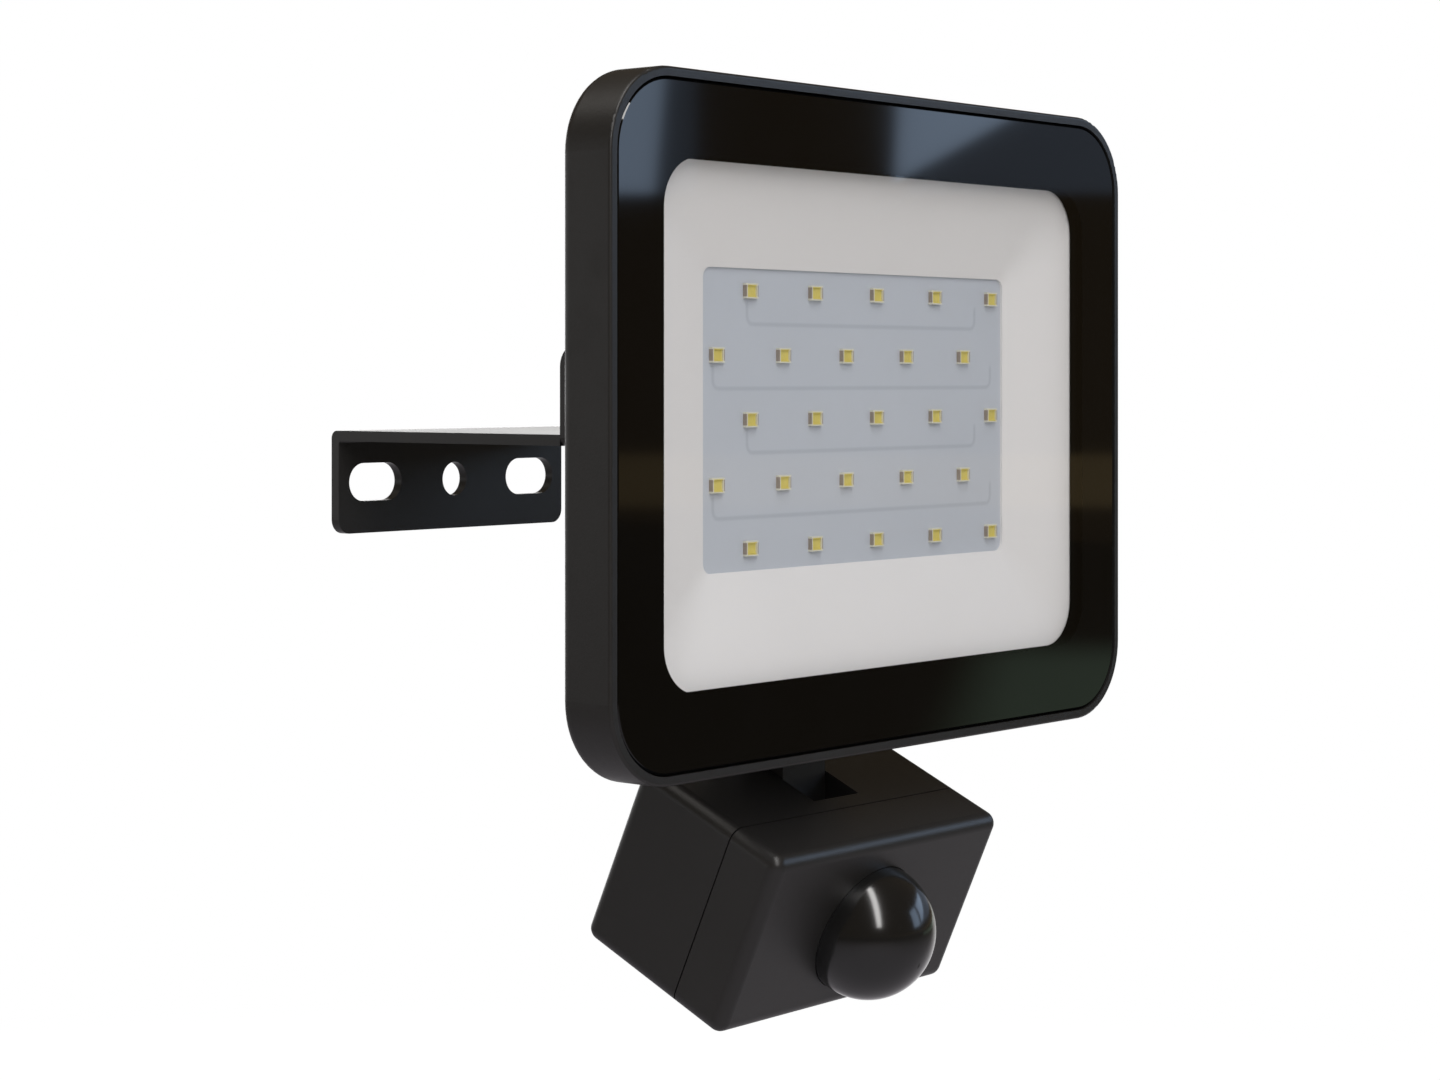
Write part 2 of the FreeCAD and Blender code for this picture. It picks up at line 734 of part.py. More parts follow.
def add_lugs(body):
    """Two cast lugs that taper back to the pivot, rooted on the compartment's side walls."""
    reach = -size("pivot_to_front")
    rise = size("pivot_above_centre")
    half_root = size("lug_root_height") / 2
    radius = size("lug_round")
    # The straight flanks run from the root's ends and touch the round end.
    run = size("pivot_to_front") - size("floor_depth")
    span = math.hypot(run.value, half_root.value)
    flank_angle = math.atan2(half_root.value, run.value) - math.asin(radius.value / span)
    touch_along = radius * round(math.sin(flank_angle), 9)
    touch_up = radius * round(math.cos(flank_angle), 9)
    features = []
    flank = sketch_on(body, "YZ_Plane", lug_inside)
    draw_polygon(flank, [
        (rise + half_root, -size("floor_depth")), (rise + touch_up, reach - touch_along),
        (rise - touch_up, reach - touch_along), (rise - half_root, -size("floor_depth"))])
    features.append(pad(body, flank, size("lug_thickness")))
    end = sketch_on(body, "YZ_Plane", lug_inside)
    draw_circle(end, radius * 2, rise, reach)
    features.append(pad(body, end, size("lug_thickness")))
    root = sketch_on(body, "YZ_Plane", box_half_width - size("box_wall") / 2)
    root_top = -size("box_rim_depth")
    draw_polygon(root, [
        (rise + half_root, -size("floor_depth")), (rise + half_root / 2, root_top),
        (rise - half_root / 2, root_top), (rise - half_root, -size("floor_depth"))])
    features.append(pad(body, root, lug_outside - box_half_width + size("box_wall") / 2))
    mirror(body, features, "YZ_Plane")
    hole = sketch_on(body, "YZ_Plane")
    draw_circle(hole, size("bolt_width") + size("thread_gap") * 2, rise, reach)
    pocket(body, hole, lug_outside * 2 + size("lug_thickness"), both_sides=True)


def add_neck_boss(body):
    """The round boss under the compartment that the sensor's neck turns in."""
    round_half = size("neck_boss_round")
    bottom = -rim_half_height
    outline = sketch_on(body, "XZ_Plane", rim_half_height - size("neck_boss_rise"))
    draw_polygon(outline, [
        (-round_half, -size("floor_depth")), (-round_half, -size("neck_depth")),
        (round_half, -size("neck_depth")), (round_half, -size("floor_depth"))])
    pad(body, outline, size("neck_boss_rise"))
    drum = sketch_on(body, "XZ_Plane", rim_half_height - size("neck_boss_rise"))
    draw_circle(drum, round_half * 2, ZERO, -size("neck_depth"))
    pad(body, drum, size("neck_boss_rise"))
    riser = sketch_on(body, "XZ_Plane", size("box_bottom") - size("box_wall"))
    riser_half = size("neck_stem_width") / 2 + size("box_wall")
    draw_polygon(riser, [
        (-riser_half, -size("floor_depth")), (-riser_half, -size("box_rim_depth")),
        (riser_half, -size("box_rim_depth")), (riser_half, -size("floor_depth"))])
    pad(body, riser, rim_half_height - size("box_bottom") - size("neck_boss_rise") + size("box_wall") * 2)

    disc_seat = size("neck_disc_thickness") + size("face_gap")
    steps = [
        (size("neck_disc_width") + size("moving_gap") * 2, disc_seat),
        (size("neck_stem_width") + size("running_gap") * 2, disc_seat + size("neck_web")),
    ]
    for width, depth in steps:
        step = sketch_on(body, "XZ_Plane", rim_half_height)
        draw_circle(step, width, ZERO, -size("neck_depth"))
        pocket(body, step, depth)
    room = sketch_on(body, "XZ_Plane", rim_half_height - disc_seat - size("neck_web"))
    draw_circle(room, size("neck_stem_width") + size("neck_barb") * 2 + size("moving_gap") * 4,
                ZERO, -size("neck_depth"))
    pocket(body, room, size("neck_barb_length") + size("moving_gap") * 6)
    passage = sketch_on(body, "XZ_Plane", rim_half_height - disc_seat)
    draw_circle(passage, size("wire_hole_width"), ZERO,
                -(size("box_floor_depth") + size("box_rim_depth")) / 2)
    pocket(body, passage, rim_half_height - size("box_bottom") - disc_seat + size("box_wall") * 2)


def add_fins(body):
    """Cooling fins down both wings of the back, sloped at their ends."""
    half_run = size("lamp_height") / 2 - size("back_inset") - size("fin_end_margin")
    foot = -(size("floor_depth") + size("back_depth")) / 2
    tip = -(size("back_depth") + size("fin_height"))
    slope = size("fin_height")
    fin = sketch_on(body, "YZ_Plane", size("fin_start") - size("fin_thickness") / 2)
    draw_polygon(fin, [
        (-half_run, foot), (half_run, foot), (half_run - slope, tip), (slope - half_run, tip)])
    right_fin = pad(body, fin, size("fin_thickness"))
    repeat(body, [right_fin], "X_Axis", size("fin_count"), size("fin_pitch"))
    other = sketch_on(body, "YZ_Plane", -(size("fin_start") + size("fin_thickness") / 2))
    draw_polygon(other, [
        (-half_run, foot), (half_run, foot), (half_run - slope, tip), (slope - half_run, tip)])
    left_fin = pad(body, other, size("fin_thickness"))
    repeat(body, [left_fin], "X_Axis", size("fin_count"), size("fin_pitch"), backwards=True)


def cut_front(body):
    """The step for the glass and its seal, and the tray that holds reflector and board."""
    gap = size("seat_gap")
    step = sketch_on(body, "XY_Plane")
    draw_rounded(step, glass_width + gap * 2, glass_height + gap * 2, glass_round + gap)
    pocket(body, step, shelf_depth)
    tray = sketch_on(body, "XY_Plane")
    draw_rounded(tray, cavity_width, cavity_height, cavity_round)
    pocket(body, tray, size("floor_depth"))
    screws = sketch_on(body, "XY_Plane", -size("floor_depth"))
    for across in (-1, 1):
        for up in (-1, 1):
            draw_circle(screws, size("board_screw_width") + size("thread_gap") * 2,
                        board_screw_across * across, size("board_rise") + board_screw_up * up)
    pocket(body, screws, size("board_screw_length") - size("board_thickness"))


def cut_compartment(body):
    """The driver compartment, open at the back, with screw posts, stand-offs and wire holes."""
    room_depth = size("box_rim_depth") - size("box_floor_depth")
    room = sketch_on(body, "XY_Plane", -size("box_rim_depth"))
    draw_rounded(room, box_inner_width, box_inner_height, box_inner_round, ZERO, box_middle)
    pocket(body, room, room_depth, along_normal=True)

    posts = sketch_on(body, "XY_Plane", -size("box_rim_depth"))
    pilots = sketch_on(body, "XY_Plane", -size("box_rim_depth"))
    half_post = size("post_width") / 2
    outer_across = box_half_width - size("box_wall") / 2
    outer_up = box_height / 2 - size("box_wall") / 2
    for across in (-1, 1):
        for up in (-1, 1):
            draw_polygon(posts, [
                ((post_across - half_post) * across, box_middle + (post_up - half_post) * up),
                (outer_across * across, box_middle + (post_up - half_post) * up),
                (outer_across * across, box_middle + outer_up * up),
                ((post_across - half_post) * across, box_middle + outer_up * up)])
            draw_circle(pilots, size("cover_screw_width") + size("thread_gap") * 2,
                        post_across * across, box_middle + post_up * up)
    pad(body, posts, room_depth)
    fillet(body, lambda e: runs_along(e, "Z")
           and abs(abs(e.CenterOfMass.x) - (post_across - half_post).value) < 0.01
           and abs(abs(e.CenterOfMass.y - box_middle.value) - (post_up - half_post).value) < 0.01,
           size("post_width") / 3)
    pocket(body, pilots, size("cover_pilot_depth"), along_normal=True)

    stands = sketch_on(body, "XY_Plane", -size("floor_depth"))
    for across in (-1, 1):
        for up in (-1, 1):
            draw_circle(stands, size("stand_width"), stand_across * across, box_middle + stand_up * up)
    pad(body, stands, size("box_floor_depth") - size("floor_depth") + size("driver_board_stand"),
        towards_back=True)
    stand_holes = sketch_on(body, "XY_Plane", -(size("box_floor_depth") + size("driver_board_stand")))
    for across in (-1, 1):
        for up in (-1, 1):
            draw_circle(stand_holes, size("board_screw_width") + size("thread_gap") * 2,
                        stand_across * across, box_middle + stand_up * up)
    pocket(body, stand_holes, size("board_screw_length"), along_normal=True)

    wires = sketch_on(body, "XY_Plane", -size("floor_depth"))
    draw_circle(wires, size("wire_hole_width"), ZERO, wire_hole_up)
    pocket(body, wires, size("box_floor_depth") - size("floor_depth"))
    gland_hole = sketch_on(body, "YZ_Plane", box_half_width - size("box_wall") * 2)
    draw_circle(gland_hole, size("gland_thread_width") + size("thread_gap") * 2,
                -size("gland_drop"), -size("gland_depth"))
    pocket(body, gland_hole, size("box_wall") * 3, along_normal=True)

    earth = sketch_on(body, "XY_Plane", -size("floor_depth"))
    draw_circle(earth, size("earth_boss_width"), size("earth_across"), -size("earth_drop"))
    pad(body, earth, earth_seat - size("floor_depth"), towards_back=True)
    earth_hole = sketch_on(body, "XY_Plane", -earth_seat)
    draw_circle(earth_hole, size("earth_screw_width") + size("thread_gap") * 2, size("earth_across"),
                -size("earth_drop"))
    pocket(body, earth_hole, size("earth_screw_length"), along_normal=True)


def make_lamp_housing():
    """One aluminium casting: rim, tray, fins, driver compartment, pivot lugs and neck boss."""
    body = new_piece("lamp_housing")
    add_rim(body)
    add_back_plate(body)
    add_fins(body)
    add_lugs(body)
    add_neck_boss(body)
    cut_front(body)
    cut_compartment(body)
    set_on_lamp(body)
    return body


# Glass, reflector and LED board

def plate(label, width, height, corner, front, thickness, up=ZERO):
    """A flat piece of the lamp with round corners, its front at a depth behind the lamp's front."""
    body = new_piece(label)
    outline = sketch_on(body, "XY_Plane", -front)
    draw_rounded(outline, width, height, corner, ZERO, up)
    pad(body, outline, thickness, towards_back=True)
    set_on_lamp(body)
    return body


def make_front_glass():
    """Tempered pane that drops into the rim, with its front edge bevelled."""
    body = plate("front_glass", glass_width, glass_height, glass_round, size("glass_recess"),
                 size("glass_thickness"))
    front = -size("glass_recess").value
    chamfer(body, lambda e: lies_at(e, "Z", front), size("glass_bevel"))


def make_ring(label, width, height, corner, band, front, thickness, up=ZERO):
    """A flat seal that follows a rounded rectangle."""
    body = plate(label, width, height, corner, front, thickness, up)
    inside = sketch_on(body, "XY_Plane", -front)
    draw_rounded(inside, width - band * 2, height - band * 2, corner - band, ZERO, up)
    pocket(body, inside, thickness)
    return body


def make_reflector():
    """White moulded frame: flat rim, shallow funnel down to the LED board, hollow from behind."""
    gap = size("seat_gap")
    front = glass_back + size("reflector_gap")
    width = cavity_width - gap * 2
    height = cavity_height - gap * 2
    corner = cavity_round - gap
    mouth_width = size("reflector_outer_width")
    mouth_height = size("reflector_outer_height")
    body = plate("reflector", width, height, corner, front, board_front - front)

    mouth = sketch_on(body, "XY_Plane", -front)
    draw_rounded(mouth, mouth_width, mouth_height, size("reflector_outer_round"))
    opening = sketch_on(body, "XY_Plane", size("reflector_edge") - board_front)
    draw_rounded(opening, size("reflector_opening_width"), size("reflector_opening_height"),
                 size("reflector_opening_round"), ZERO, size("board_rise"))
    funnel = body.newObject("PartDesign::SubtractiveLoft", "funnel")
    funnel.Profile = mouth
    funnel.Sections = [opening]
    funnel.Ruled = True
    doc.recompute()
    fillet(body, lambda e: lies_at(e, "Z", -front.value) and e.BoundBox.XLength < mouth_width.value + 1
           and abs(e.CenterOfMass.x) < mouth_width.value / 2 + 0.1
           and abs(e.CenterOfMass.y) < mouth_height.value / 2 + 0.1, size("reflector_mouth_round"))
    through = sketch_on(body, "XY_Plane", -front)
    draw_rounded(through, size("reflector_opening_width"), size("reflector_opening_height"),
                 size("reflector_opening_round"), ZERO, size("board_rise"))
    pocket(body, through, board_front - front)

    hollow = sketch_on(body, "XY_Plane", -board_front)
    wall = size("reflector_wall")
    draw_rounded(hollow, width - wall * 2, height - wall * 2, corner - wall)
    draw_rounded(hollow, mouth_width, mouth_height, size("reflector_outer_round"))
    pocket(body, hollow, board_front - front - wall, along_normal=True)
    heads = sketch_on(body, "XY_Plane", -board_front)
    for across in (-1, 1):
        for up in (-1, 1):
            draw_circle(heads, size("board_screw_head_width") + gap * 2,
                        board_screw_across * across, size("board_rise") + board_screw_up * up)
    pocket(body, heads, size("board_screw_head_depth") + size("face_gap"), along_normal=True)


def make_led_board():
    """Aluminium-core board with a hole for each of its four screws."""
    body = plate("led_board", size("board_width"), size("board_height"), size("board_screw_head_width"),
                 board_front, size("board_thickness"), size("board_rise"))
    holes = sketch_on(body, "XY_Plane", -board_front)
    for across in (-1, 1):
        for up in (-1, 1):
            draw_circle(holes, size("board_screw_width") + size("seat_gap") * 2,
                        board_screw_across * across, size("board_rise") + board_screw_up * up)
    pocket(body, holes, size("board_thickness"))


def make_led_chips():
    """Five staggered rows of LED packages, each with a shallow dish for its phosphor."""
    body = new_piece("led_chips")
    body.AllowCompound = True
    frame = size("chip_frame")
    corners = [(-1, -1), (1, -1), (1, 1), (-1, 1)]
    half_width = size("chip_width") / 2
    half_height = size("chip_height") / 2
    for rows, side in ((size("chip_right_rows"), 1), (size("chip_left_rows"), -1)):
        first = size("chip_pitch") / 4 * side - size("chip_pitch") * (size("chip_columns") - 1) / 2
        lowest = size("board_rise") - (rows - 1) * size("chip_row_pitch")
        package = sketch_on(body, "XY_Plane", -board_front)
        draw_polygon(package, [(first + half_width * x, lowest + half_height * y) for x, y in corners])
        block = pad(body, package, size("chip_thickness"))
        dish = sketch_on(body, "XY_Plane", size("chip_thickness") - board_front)
        draw_polygon(dish, [(first + (half_width - frame) * x, lowest + (half_height - frame) * y)
                            for x, y in corners])
        well = pocket(body, dish, size("chip_dish"))
        grid(body, [block, well], size("chip_columns"), size("chip_pitch"), rows,
             size("chip_row_pitch") * 2)
    set_on_lamp(body)


def turn_about(body, plane, offset, corners, centre):
    """Turns an outline of (radius, along) corners about a line at a centre across the sketch."""
    outline = sketch_on(body, plane, offset)
    draw_polygon(outline, [(centre + radius, along) for radius, along in corners])
    axis = outline.addGeometry(
        Part.LineSegment(Vector(centre.value, -1, 0), Vector(centre.value, 1, 0)), True)
    hold(outline, axis, 1, centre, as_size(-1))
    hold(outline, axis, 2, centre, as_size(1))
    return revolve(body, outline, "Axis0")


def cross_recess(body, seat_plane, across, up, width, outward):
    """A cross recess in a screw's head, which opens outwards or to the back."""
    arm = width / 2
    web = width / 8
    cross = sketch_on(body, "XY_Plane", seat_plane)
    points = [(arm, web), (web, web), (web, arm)]
    corners = []
    for x, y in ((1, 1), (-1, 1), (-1, -1), (1, -1)):
        run = points if x * y > 0 else points[::-1]
        corners += [(across + a * x, up + b * y) for a, b in run]
    draw_polygon(cross, corners)
    return pocket(body, cross, width / 4, along_normal=outward < 0)


def make_screws(label, seat, head_width, head_depth, shank_width, length, outward, first, pitches, place):
    """Pan-head screws along the look axis, each a solid of its own: one, or four on a rectangle.

    The heads stand on the seat, outward being 1 for heads in front of it and -1 for heads behind it.
    """
    body = new_piece(label)
    body.AllowCompound = True
    head = head_width / 2
    shank = shank_width / 2
    top = seat + head_depth * outward
    across, up = first
    turn = turn_about(body, "XZ_Plane", -up, [
        (ZERO, top), (head - head_depth / 4, top), (head, seat + head_depth * (0.6 * outward)),
        (head, seat), (shank, seat), (shank, seat - length * outward), (ZERO, seat - length * outward)],
        across)
    recess = cross_recess(body, top, across, up, head_width * 0.6, outward)
    if pitches:
        grid(body, [turn, recess], TWO, pitches[0], TWO, pitches[1])
    place(body)


def make_lamp_screws():
    """Screws of the LED board, the driver board and the compartment's cover."""
    board_screw = (size("board_screw_head_width"), size("board_screw_head_depth"),
                   size("board_screw_width"), size("board_screw_length"))
    make_screws("led_board_screws", -board_front, *board_screw, 1,
                (-board_screw_across, size("board_rise") - board_screw_up),
                (board_screw_across * 2, board_screw_up * 2), set_on_lamp)
    make_screws("driver_board_screws", -driver_board_back, *board_screw, -1,
                (-stand_across, box_middle - stand_up), (stand_across * 2, stand_up * 2), set_on_lamp)
    make_screws("cover_screws", -cover_back, size("cover_screw_head_width"),
                size("cover_screw_head_depth"), size("cover_screw_width"), size("cover_screw_length"), -1,
                (-post_across, box_middle - post_up), (post_across * 2, post_up * 2), set_on_lamp)
    make_screws("earth_screw", -earth_seat, size("earth_screw_head_width"),
                size("earth_screw_head_depth"), size("earth_screw_width"),
                size("earth_screw_length") - size("face_gap"), -1,
                (size("earth_across"), -size("earth_drop")), None, set_on_lamp)


def make_thermal_pad():
    """Soft pad that carries the board's heat into the housing."""
    plate("thermal_pad", size("board_width") - size("pad_inset") * 2,
          size("board_height") - size("pad_inset") * 2, size("board_screw_head_width"),
          size("floor_depth") - size("pad_thickness"), size("pad_thickness"), size("board_rise"))


# Driver compartment

def add_holes(body, plane_offset, width, across, up, middle, length):
    """Four equal holes on a rectangle, sunk from a plane towards the back."""
    holes = sketch_on(body, "XY_Plane", plane_offset)
    for x in (-1, 1):
        for y in (-1, 1):
            draw_circle(holes, width, across * x, middle + up * y)
    pocket(body, holes, length)


def make_driver_board():
    """Circuit board on four stand-offs."""
    body = plate("driver_board", size("driver_board_width"), size("driver_board_height"),
                 size("stand_inset") / 2, driver_board_front, size("driver_board_thickness"), box_middle)
    add_holes(body, -driver_board_front, size("board_screw_width") + size("seat_gap") * 2,
              stand_across, stand_up, box_middle, size("driver_board_thickness"))


def add_block(body, front, across, up, width, height, depth):
    """A block on the driver board's back, given by its middle and its size."""
    outline = sketch_on(body, "XY_Plane", -front)
    draw_polygon(outline, [(across + width / 2 * x, up + height / 2 * y)
                           for x, y in ((-1, -1), (1, -1), (1, 1), (-1, 1))])
    return pad(body, outline, depth, towards_back=True)


def can_outline(foot, width, length, outward):
    """Half outline of a capacitor can with its rolled groove near the foot."""
    radius = width / 2
    groove = radius / 6
    return [
        (ZERO, foot), (radius, foot), (radius, foot + size("can_groove_start") * outward),
        (radius - groove, foot + size("can_groove_middle") * outward),
        (radius, foot + size("can_groove_end") * outward),
        (radius, foot + (length - size("can_top_bevel")) * outward),
        (radius - groove, foot + length * outward), (ZERO, foot + length * outward)]


def make_driver_capacitors():
    """Two smoothing capacitors standing on the driver board."""
    body = new_piece("driver_capacitors")
    body.AllowCompound = True
    lowest = size("capacitor_up")
    turn = turn_about(body, "XZ_Plane", -lowest,
                      can_outline(-driver_board_back, size("capacitor_width"), size("capacitor_length"), -1),
                      -size("capacitor_across"))
    repeat(body, [turn], "Y_Axis", TWO, size("capacitor_pitch"))
    set_on_lamp(body)


def make_driver_transformer():
    """Ferrite core round a wound bobbin."""
    body = new_piece("driver_transformer")
    across = size("transformer_across")
    up = size("transformer_up")
    width = size("transformer_size")
    depth = size("transformer_depth")
    height = size("transformer_height")
    add_block(body, driver_board_back, across, up, width, height, size("transformer_foot_depth"))
    add_block(body, driver_board_back, across, up, size("transformer_coil_width"), height,
              size("transformer_coil_depth"))
    add_block(body, driver_board_back, across, up, width, size("transformer_core_height"), depth)
    set_on_lamp(body)


def make_driver_chip():
    """Driver chip with four legs at each side."""
    body = new_piece("driver_chip")
    leg = size("driver_chip_leg")
    span = size("driver_chip_leg_span")
    legs = int(size("driver_chip_legs").value)
    pitch = size("driver_chip_leg_pitch")
    up = size("driver_chip_up")
    add_block(body, driver_board_back, ZERO, up, size("driver_chip_width"), size("driver_chip_length"),
              size("driver_chip_depth"))
    for index in range(legs):
        add_block(body, driver_board_back, ZERO, up + pitch * (index - (legs - 1) / 2), span, leg, leg)
    set_on_lamp(body)


def terminal_at(index):
    """Place across of one way of the terminal block."""
    return size("terminal_pitch") * (index - 1)


def make_terminal_block():
    """Supply terminals: three ways, with wire holes below and screw wells at the back."""
    body = new_piece("terminal_block")
    up = -size("terminal_drop")
    add_block(body, driver_board_back, ZERO, up, size("terminal_length"), size("terminal_height"),
              size("terminal_depth"))
    wires = sketch_on(body, "XZ_Plane", size("terminal_drop") + size("terminal_height") / 2)
    wells = sketch_on(body, "XY_Plane", -(driver_board_back + size("terminal_depth")))
    for index in range(int(size("terminal_ways").value)):
        draw_circle(wires, size("terminal_wire_hole"), terminal_at(index),
                    -(driver_board_back + size("terminal_wire_hole_rise")))
        draw_circle(wells, size("terminal_screw_width") + size("seat_gap") * 2, terminal_at(index), up)
    pocket(body, wires, size("terminal_wire_hole_depth"))
    pocket(body, wells, size("terminal_well_depth"), along_normal=True)
    set_on_lamp(body)


def make_terminal_screws():
    """Slotted clamp screws in the terminal block's wells."""
    body = new_piece("terminal_screws")
    body.AllowCompound = True
    top = -(driver_board_back + size("terminal_depth") - size("terminal_screw_sink"))
    up = -size("terminal_drop")
    length = size("terminal_well_depth") - size("terminal_screw_sink")
    radius = size("terminal_screw_width") / 2
    turn = turn_about(body, "XZ_Plane", -up, [
        (ZERO, top), (radius, top), (radius, top + length), (ZERO, top + length)], terminal_at(0))
    slot = sketch_on(body, "XY_Plane", top)
    draw_polygon(slot, [(terminal_at(0) + radius * x, up + radius * 0.2 * y)
                        for x, y in ((-1.2, -1), (1.2, -1), (1.2, 1), (-1.2, 1))])
    cut = pocket(body, slot, radius / 2, along_normal=True)
    repeat(body, [turn, cut], "X_Axis", size("terminal_ways"), size("terminal_pitch"))
    set_on_lamp(body)


def make_cover_and_seal():
    """Flat cover over the driver compartment, and the seal that follows the compartment's rim."""
    make_ring("cover_seal", box_half_width * 2, box_height, size("box_corner_round"), size("box_wall"),
              size("box_rim_depth"), size("cover_seal_thickness"), box_middle)
    front = size("box_rim_depth") + size("cover_seal_thickness")
    body = plate("driver_cover", box_half_width * 2, box_height, size("box_corner_round"), front,
                 size("cover_thickness"), box_middle)
    fillet(body, lambda e: lies_at(e, "Z", -cover_back.value), size("cover_round"))
    panel = sketch_on(body, "XY_Plane", -cover_back)
    draw_rounded(panel, box_inner_width - size("box_wall") * 2, post_up * 2 - size("post_width") * 2,
                 size("box_corner_round") / 2, ZERO, box_middle)
    pocket(body, panel, size("cover_thickness") / 4, along_normal=True)
    add_holes(body, -front, size("cover_screw_width") + size("seat_gap") * 2, post_across, post_up,
              box_middle, size("cover_thickness"))


# Cable gland, its axis across the lamp, through the compartment's right wall

def gland_stage(body, start, length, width, hexagon=False):
    """One pad of a gland piece along its axis: a cylinder, or a hexagon with flats to the back."""
    outline = sketch_on(body, "YZ_Plane", start)
    if hexagon:
        draw_hexagon(outline, width, False, -size("gland_drop"), -size("gland_depth"))
    else:
        draw_circle(outline, width, -size("gland_drop"), -size("gland_depth"))
    pad(body, outline, length)


def gland_bore(body, start, length, width):
    """One bore of a gland piece along its axis."""
    outline = sketch_on(body, "YZ_Plane", start)
    draw_circle(outline, width, -size("gland_drop"), -size("gland_depth"))
    pocket(body, outline, length, along_normal=True)


def make_gland():
    """Gland body with its lock nut inside the wall, and the sleeve and dome nut outside it."""
    wall = box_half_width
    thread = size("gland_thread_width")
    nut_hole = thread + size("thread_gap") * 2
    inner_end = wall - size("box_wall") - size("gland_locknut_length") - size("moving_gap")
    flange_end = wall + size("gland_flange_length")
    collar_end = flange_end + size("gland_collar_length")
    seat = flange_end + size("gland_sleeve_wall")
    sleeve_width = size("cable_width") + size("gland_sleeve_wall") * 2

    body = new_piece("gland_body")
    gland_stage(body, inner_end, collar_end - inner_end, thread)
    gland_stage(body, wall, size("gland_flange_length"), size("gland_across_flats"), hexagon=True)
    gland_bore(body, inner_end, collar_end - inner_end, size("cable_width"))
    gland_bore(body, seat, collar_end - seat, sleeve_width + size("thread_gap") * 2)
    set_on_lamp(body)

    locknut = new_piece("gland_locknut")
    locknut_start = wall - size("box_wall") - size("gland_locknut_length")
    gland_stage(locknut, locknut_start, size("gland_locknut_length"), size("gland_locknut_across_flats"),
                hexagon=True)
    gland_bore(locknut, locknut_start, size("gland_locknut_length"), nut_hole)
    set_on_lamp(locknut)

    nut = new_piece("gland_nut")
    nut_start = flange_end + size("face_gap")
    nut_room = collar_end + size("gland_sleeve_wall") - nut_start
    gland_stage(nut, nut_start, size("gland_nut_length"), size("gland_across_flats"), hexagon=True)
    outer = (nut_start + size("gland_nut_length")).value
    fillet(nut, lambda e: lies_at(e, "X", outer), size("gland_dome_round"))
    gland_bore(nut, nut_start, nut_room, nut_hole)
    gland_bore(nut, nut_start, size("gland_nut_length"), size("cable_width") + size("seat_gap") * 2)
    set_on_lamp(nut)

    sleeve = new_piece("gland_sleeve")
    sleeve_length = nut_start + nut_room - seat - size("face_gap")
    gland_stage(sleeve, seat, sleeve_length, sleeve_width)
    gland_bore(sleeve, seat, sleeve_length, size("cable_width"))
    set_on_lamp(sleeve)


# Pivot hardware

def make_pivot_bolts():
    """Two button-head bolts through the ears into the lugs, with hexagon sockets."""
    seat = half_bracket + size("face_gap") + size("washer_thickness")
    head = size("bolt_head_width") / 2
    shank = size("bolt_width") / 2
    end = seat + size("bolt_head_depth")
    tip = seat - size("bolt_length")
    rounding = size("bolt_head_round")
    body = new_piece("pivot_bolts")
    body.AllowCompound = True
    outline = sketch_on(body, "XZ_Plane")
    draw_polygon(outline, [
        (tip, ZERO), (tip, shank), (seat, shank), (seat, head), (end - rounding, head),
        (end, head - rounding), (end, ZERO)])
    turn = revolve(body, outline, "H_Axis")
    socket = sketch_on(body, "YZ_Plane", end)
    draw_hexagon(socket, size("hex_socket_width"), True)
    cut = pocket(body, socket, size("hex_socket_depth"))
    mirror(body, [turn, cut], "YZ_Plane")
    set_on_pivot(body)


def make_pivot_rings(label, start, thickness, width):
    """Two like rings on the pivot bolts, one at each side."""
    body = new_piece(label)
    body.AllowCompound = True
    hole = size("bolt_width") / 2 + size("running_gap")
    outline = sketch_on(body, "XZ_Plane")
    draw_polygon(outline, [
        (start, hole), (start + thickness, hole), (start + thickness, width / 2), (start, width / 2)])
    turn = revolve(body, outline, "H_Axis")
    mirror(body, [turn], "YZ_Plane")
    set_on_pivot(body)


def make_pivot_hardware():
    """Bolts, plain washers outside the ears and friction washers inside them."""
    make_pivot_bolts()
    make_pivot_rings("pivot_washers", half_bracket + size("face_gap"), size("washer_thickness"),
                     size("washer_width"))
    make_pivot_rings("friction_washers", lug_outside, size("friction_washer_thickness"),
                     size("friction_washer_width"))


# Neck between lamp and sensor head

disc_bottom = size("tilt_drop")
disc_top = disc_bottom + size("neck_disc_thickness")
barb_start = disc_top + size("face_gap") * 2 + size("neck_web")
barb_end = barb_start + size("neck_barb_length")
seal_inside = size("neck_seal_inner_width") / 2
seal_outside = seal_inside + size("neck_seal_width")


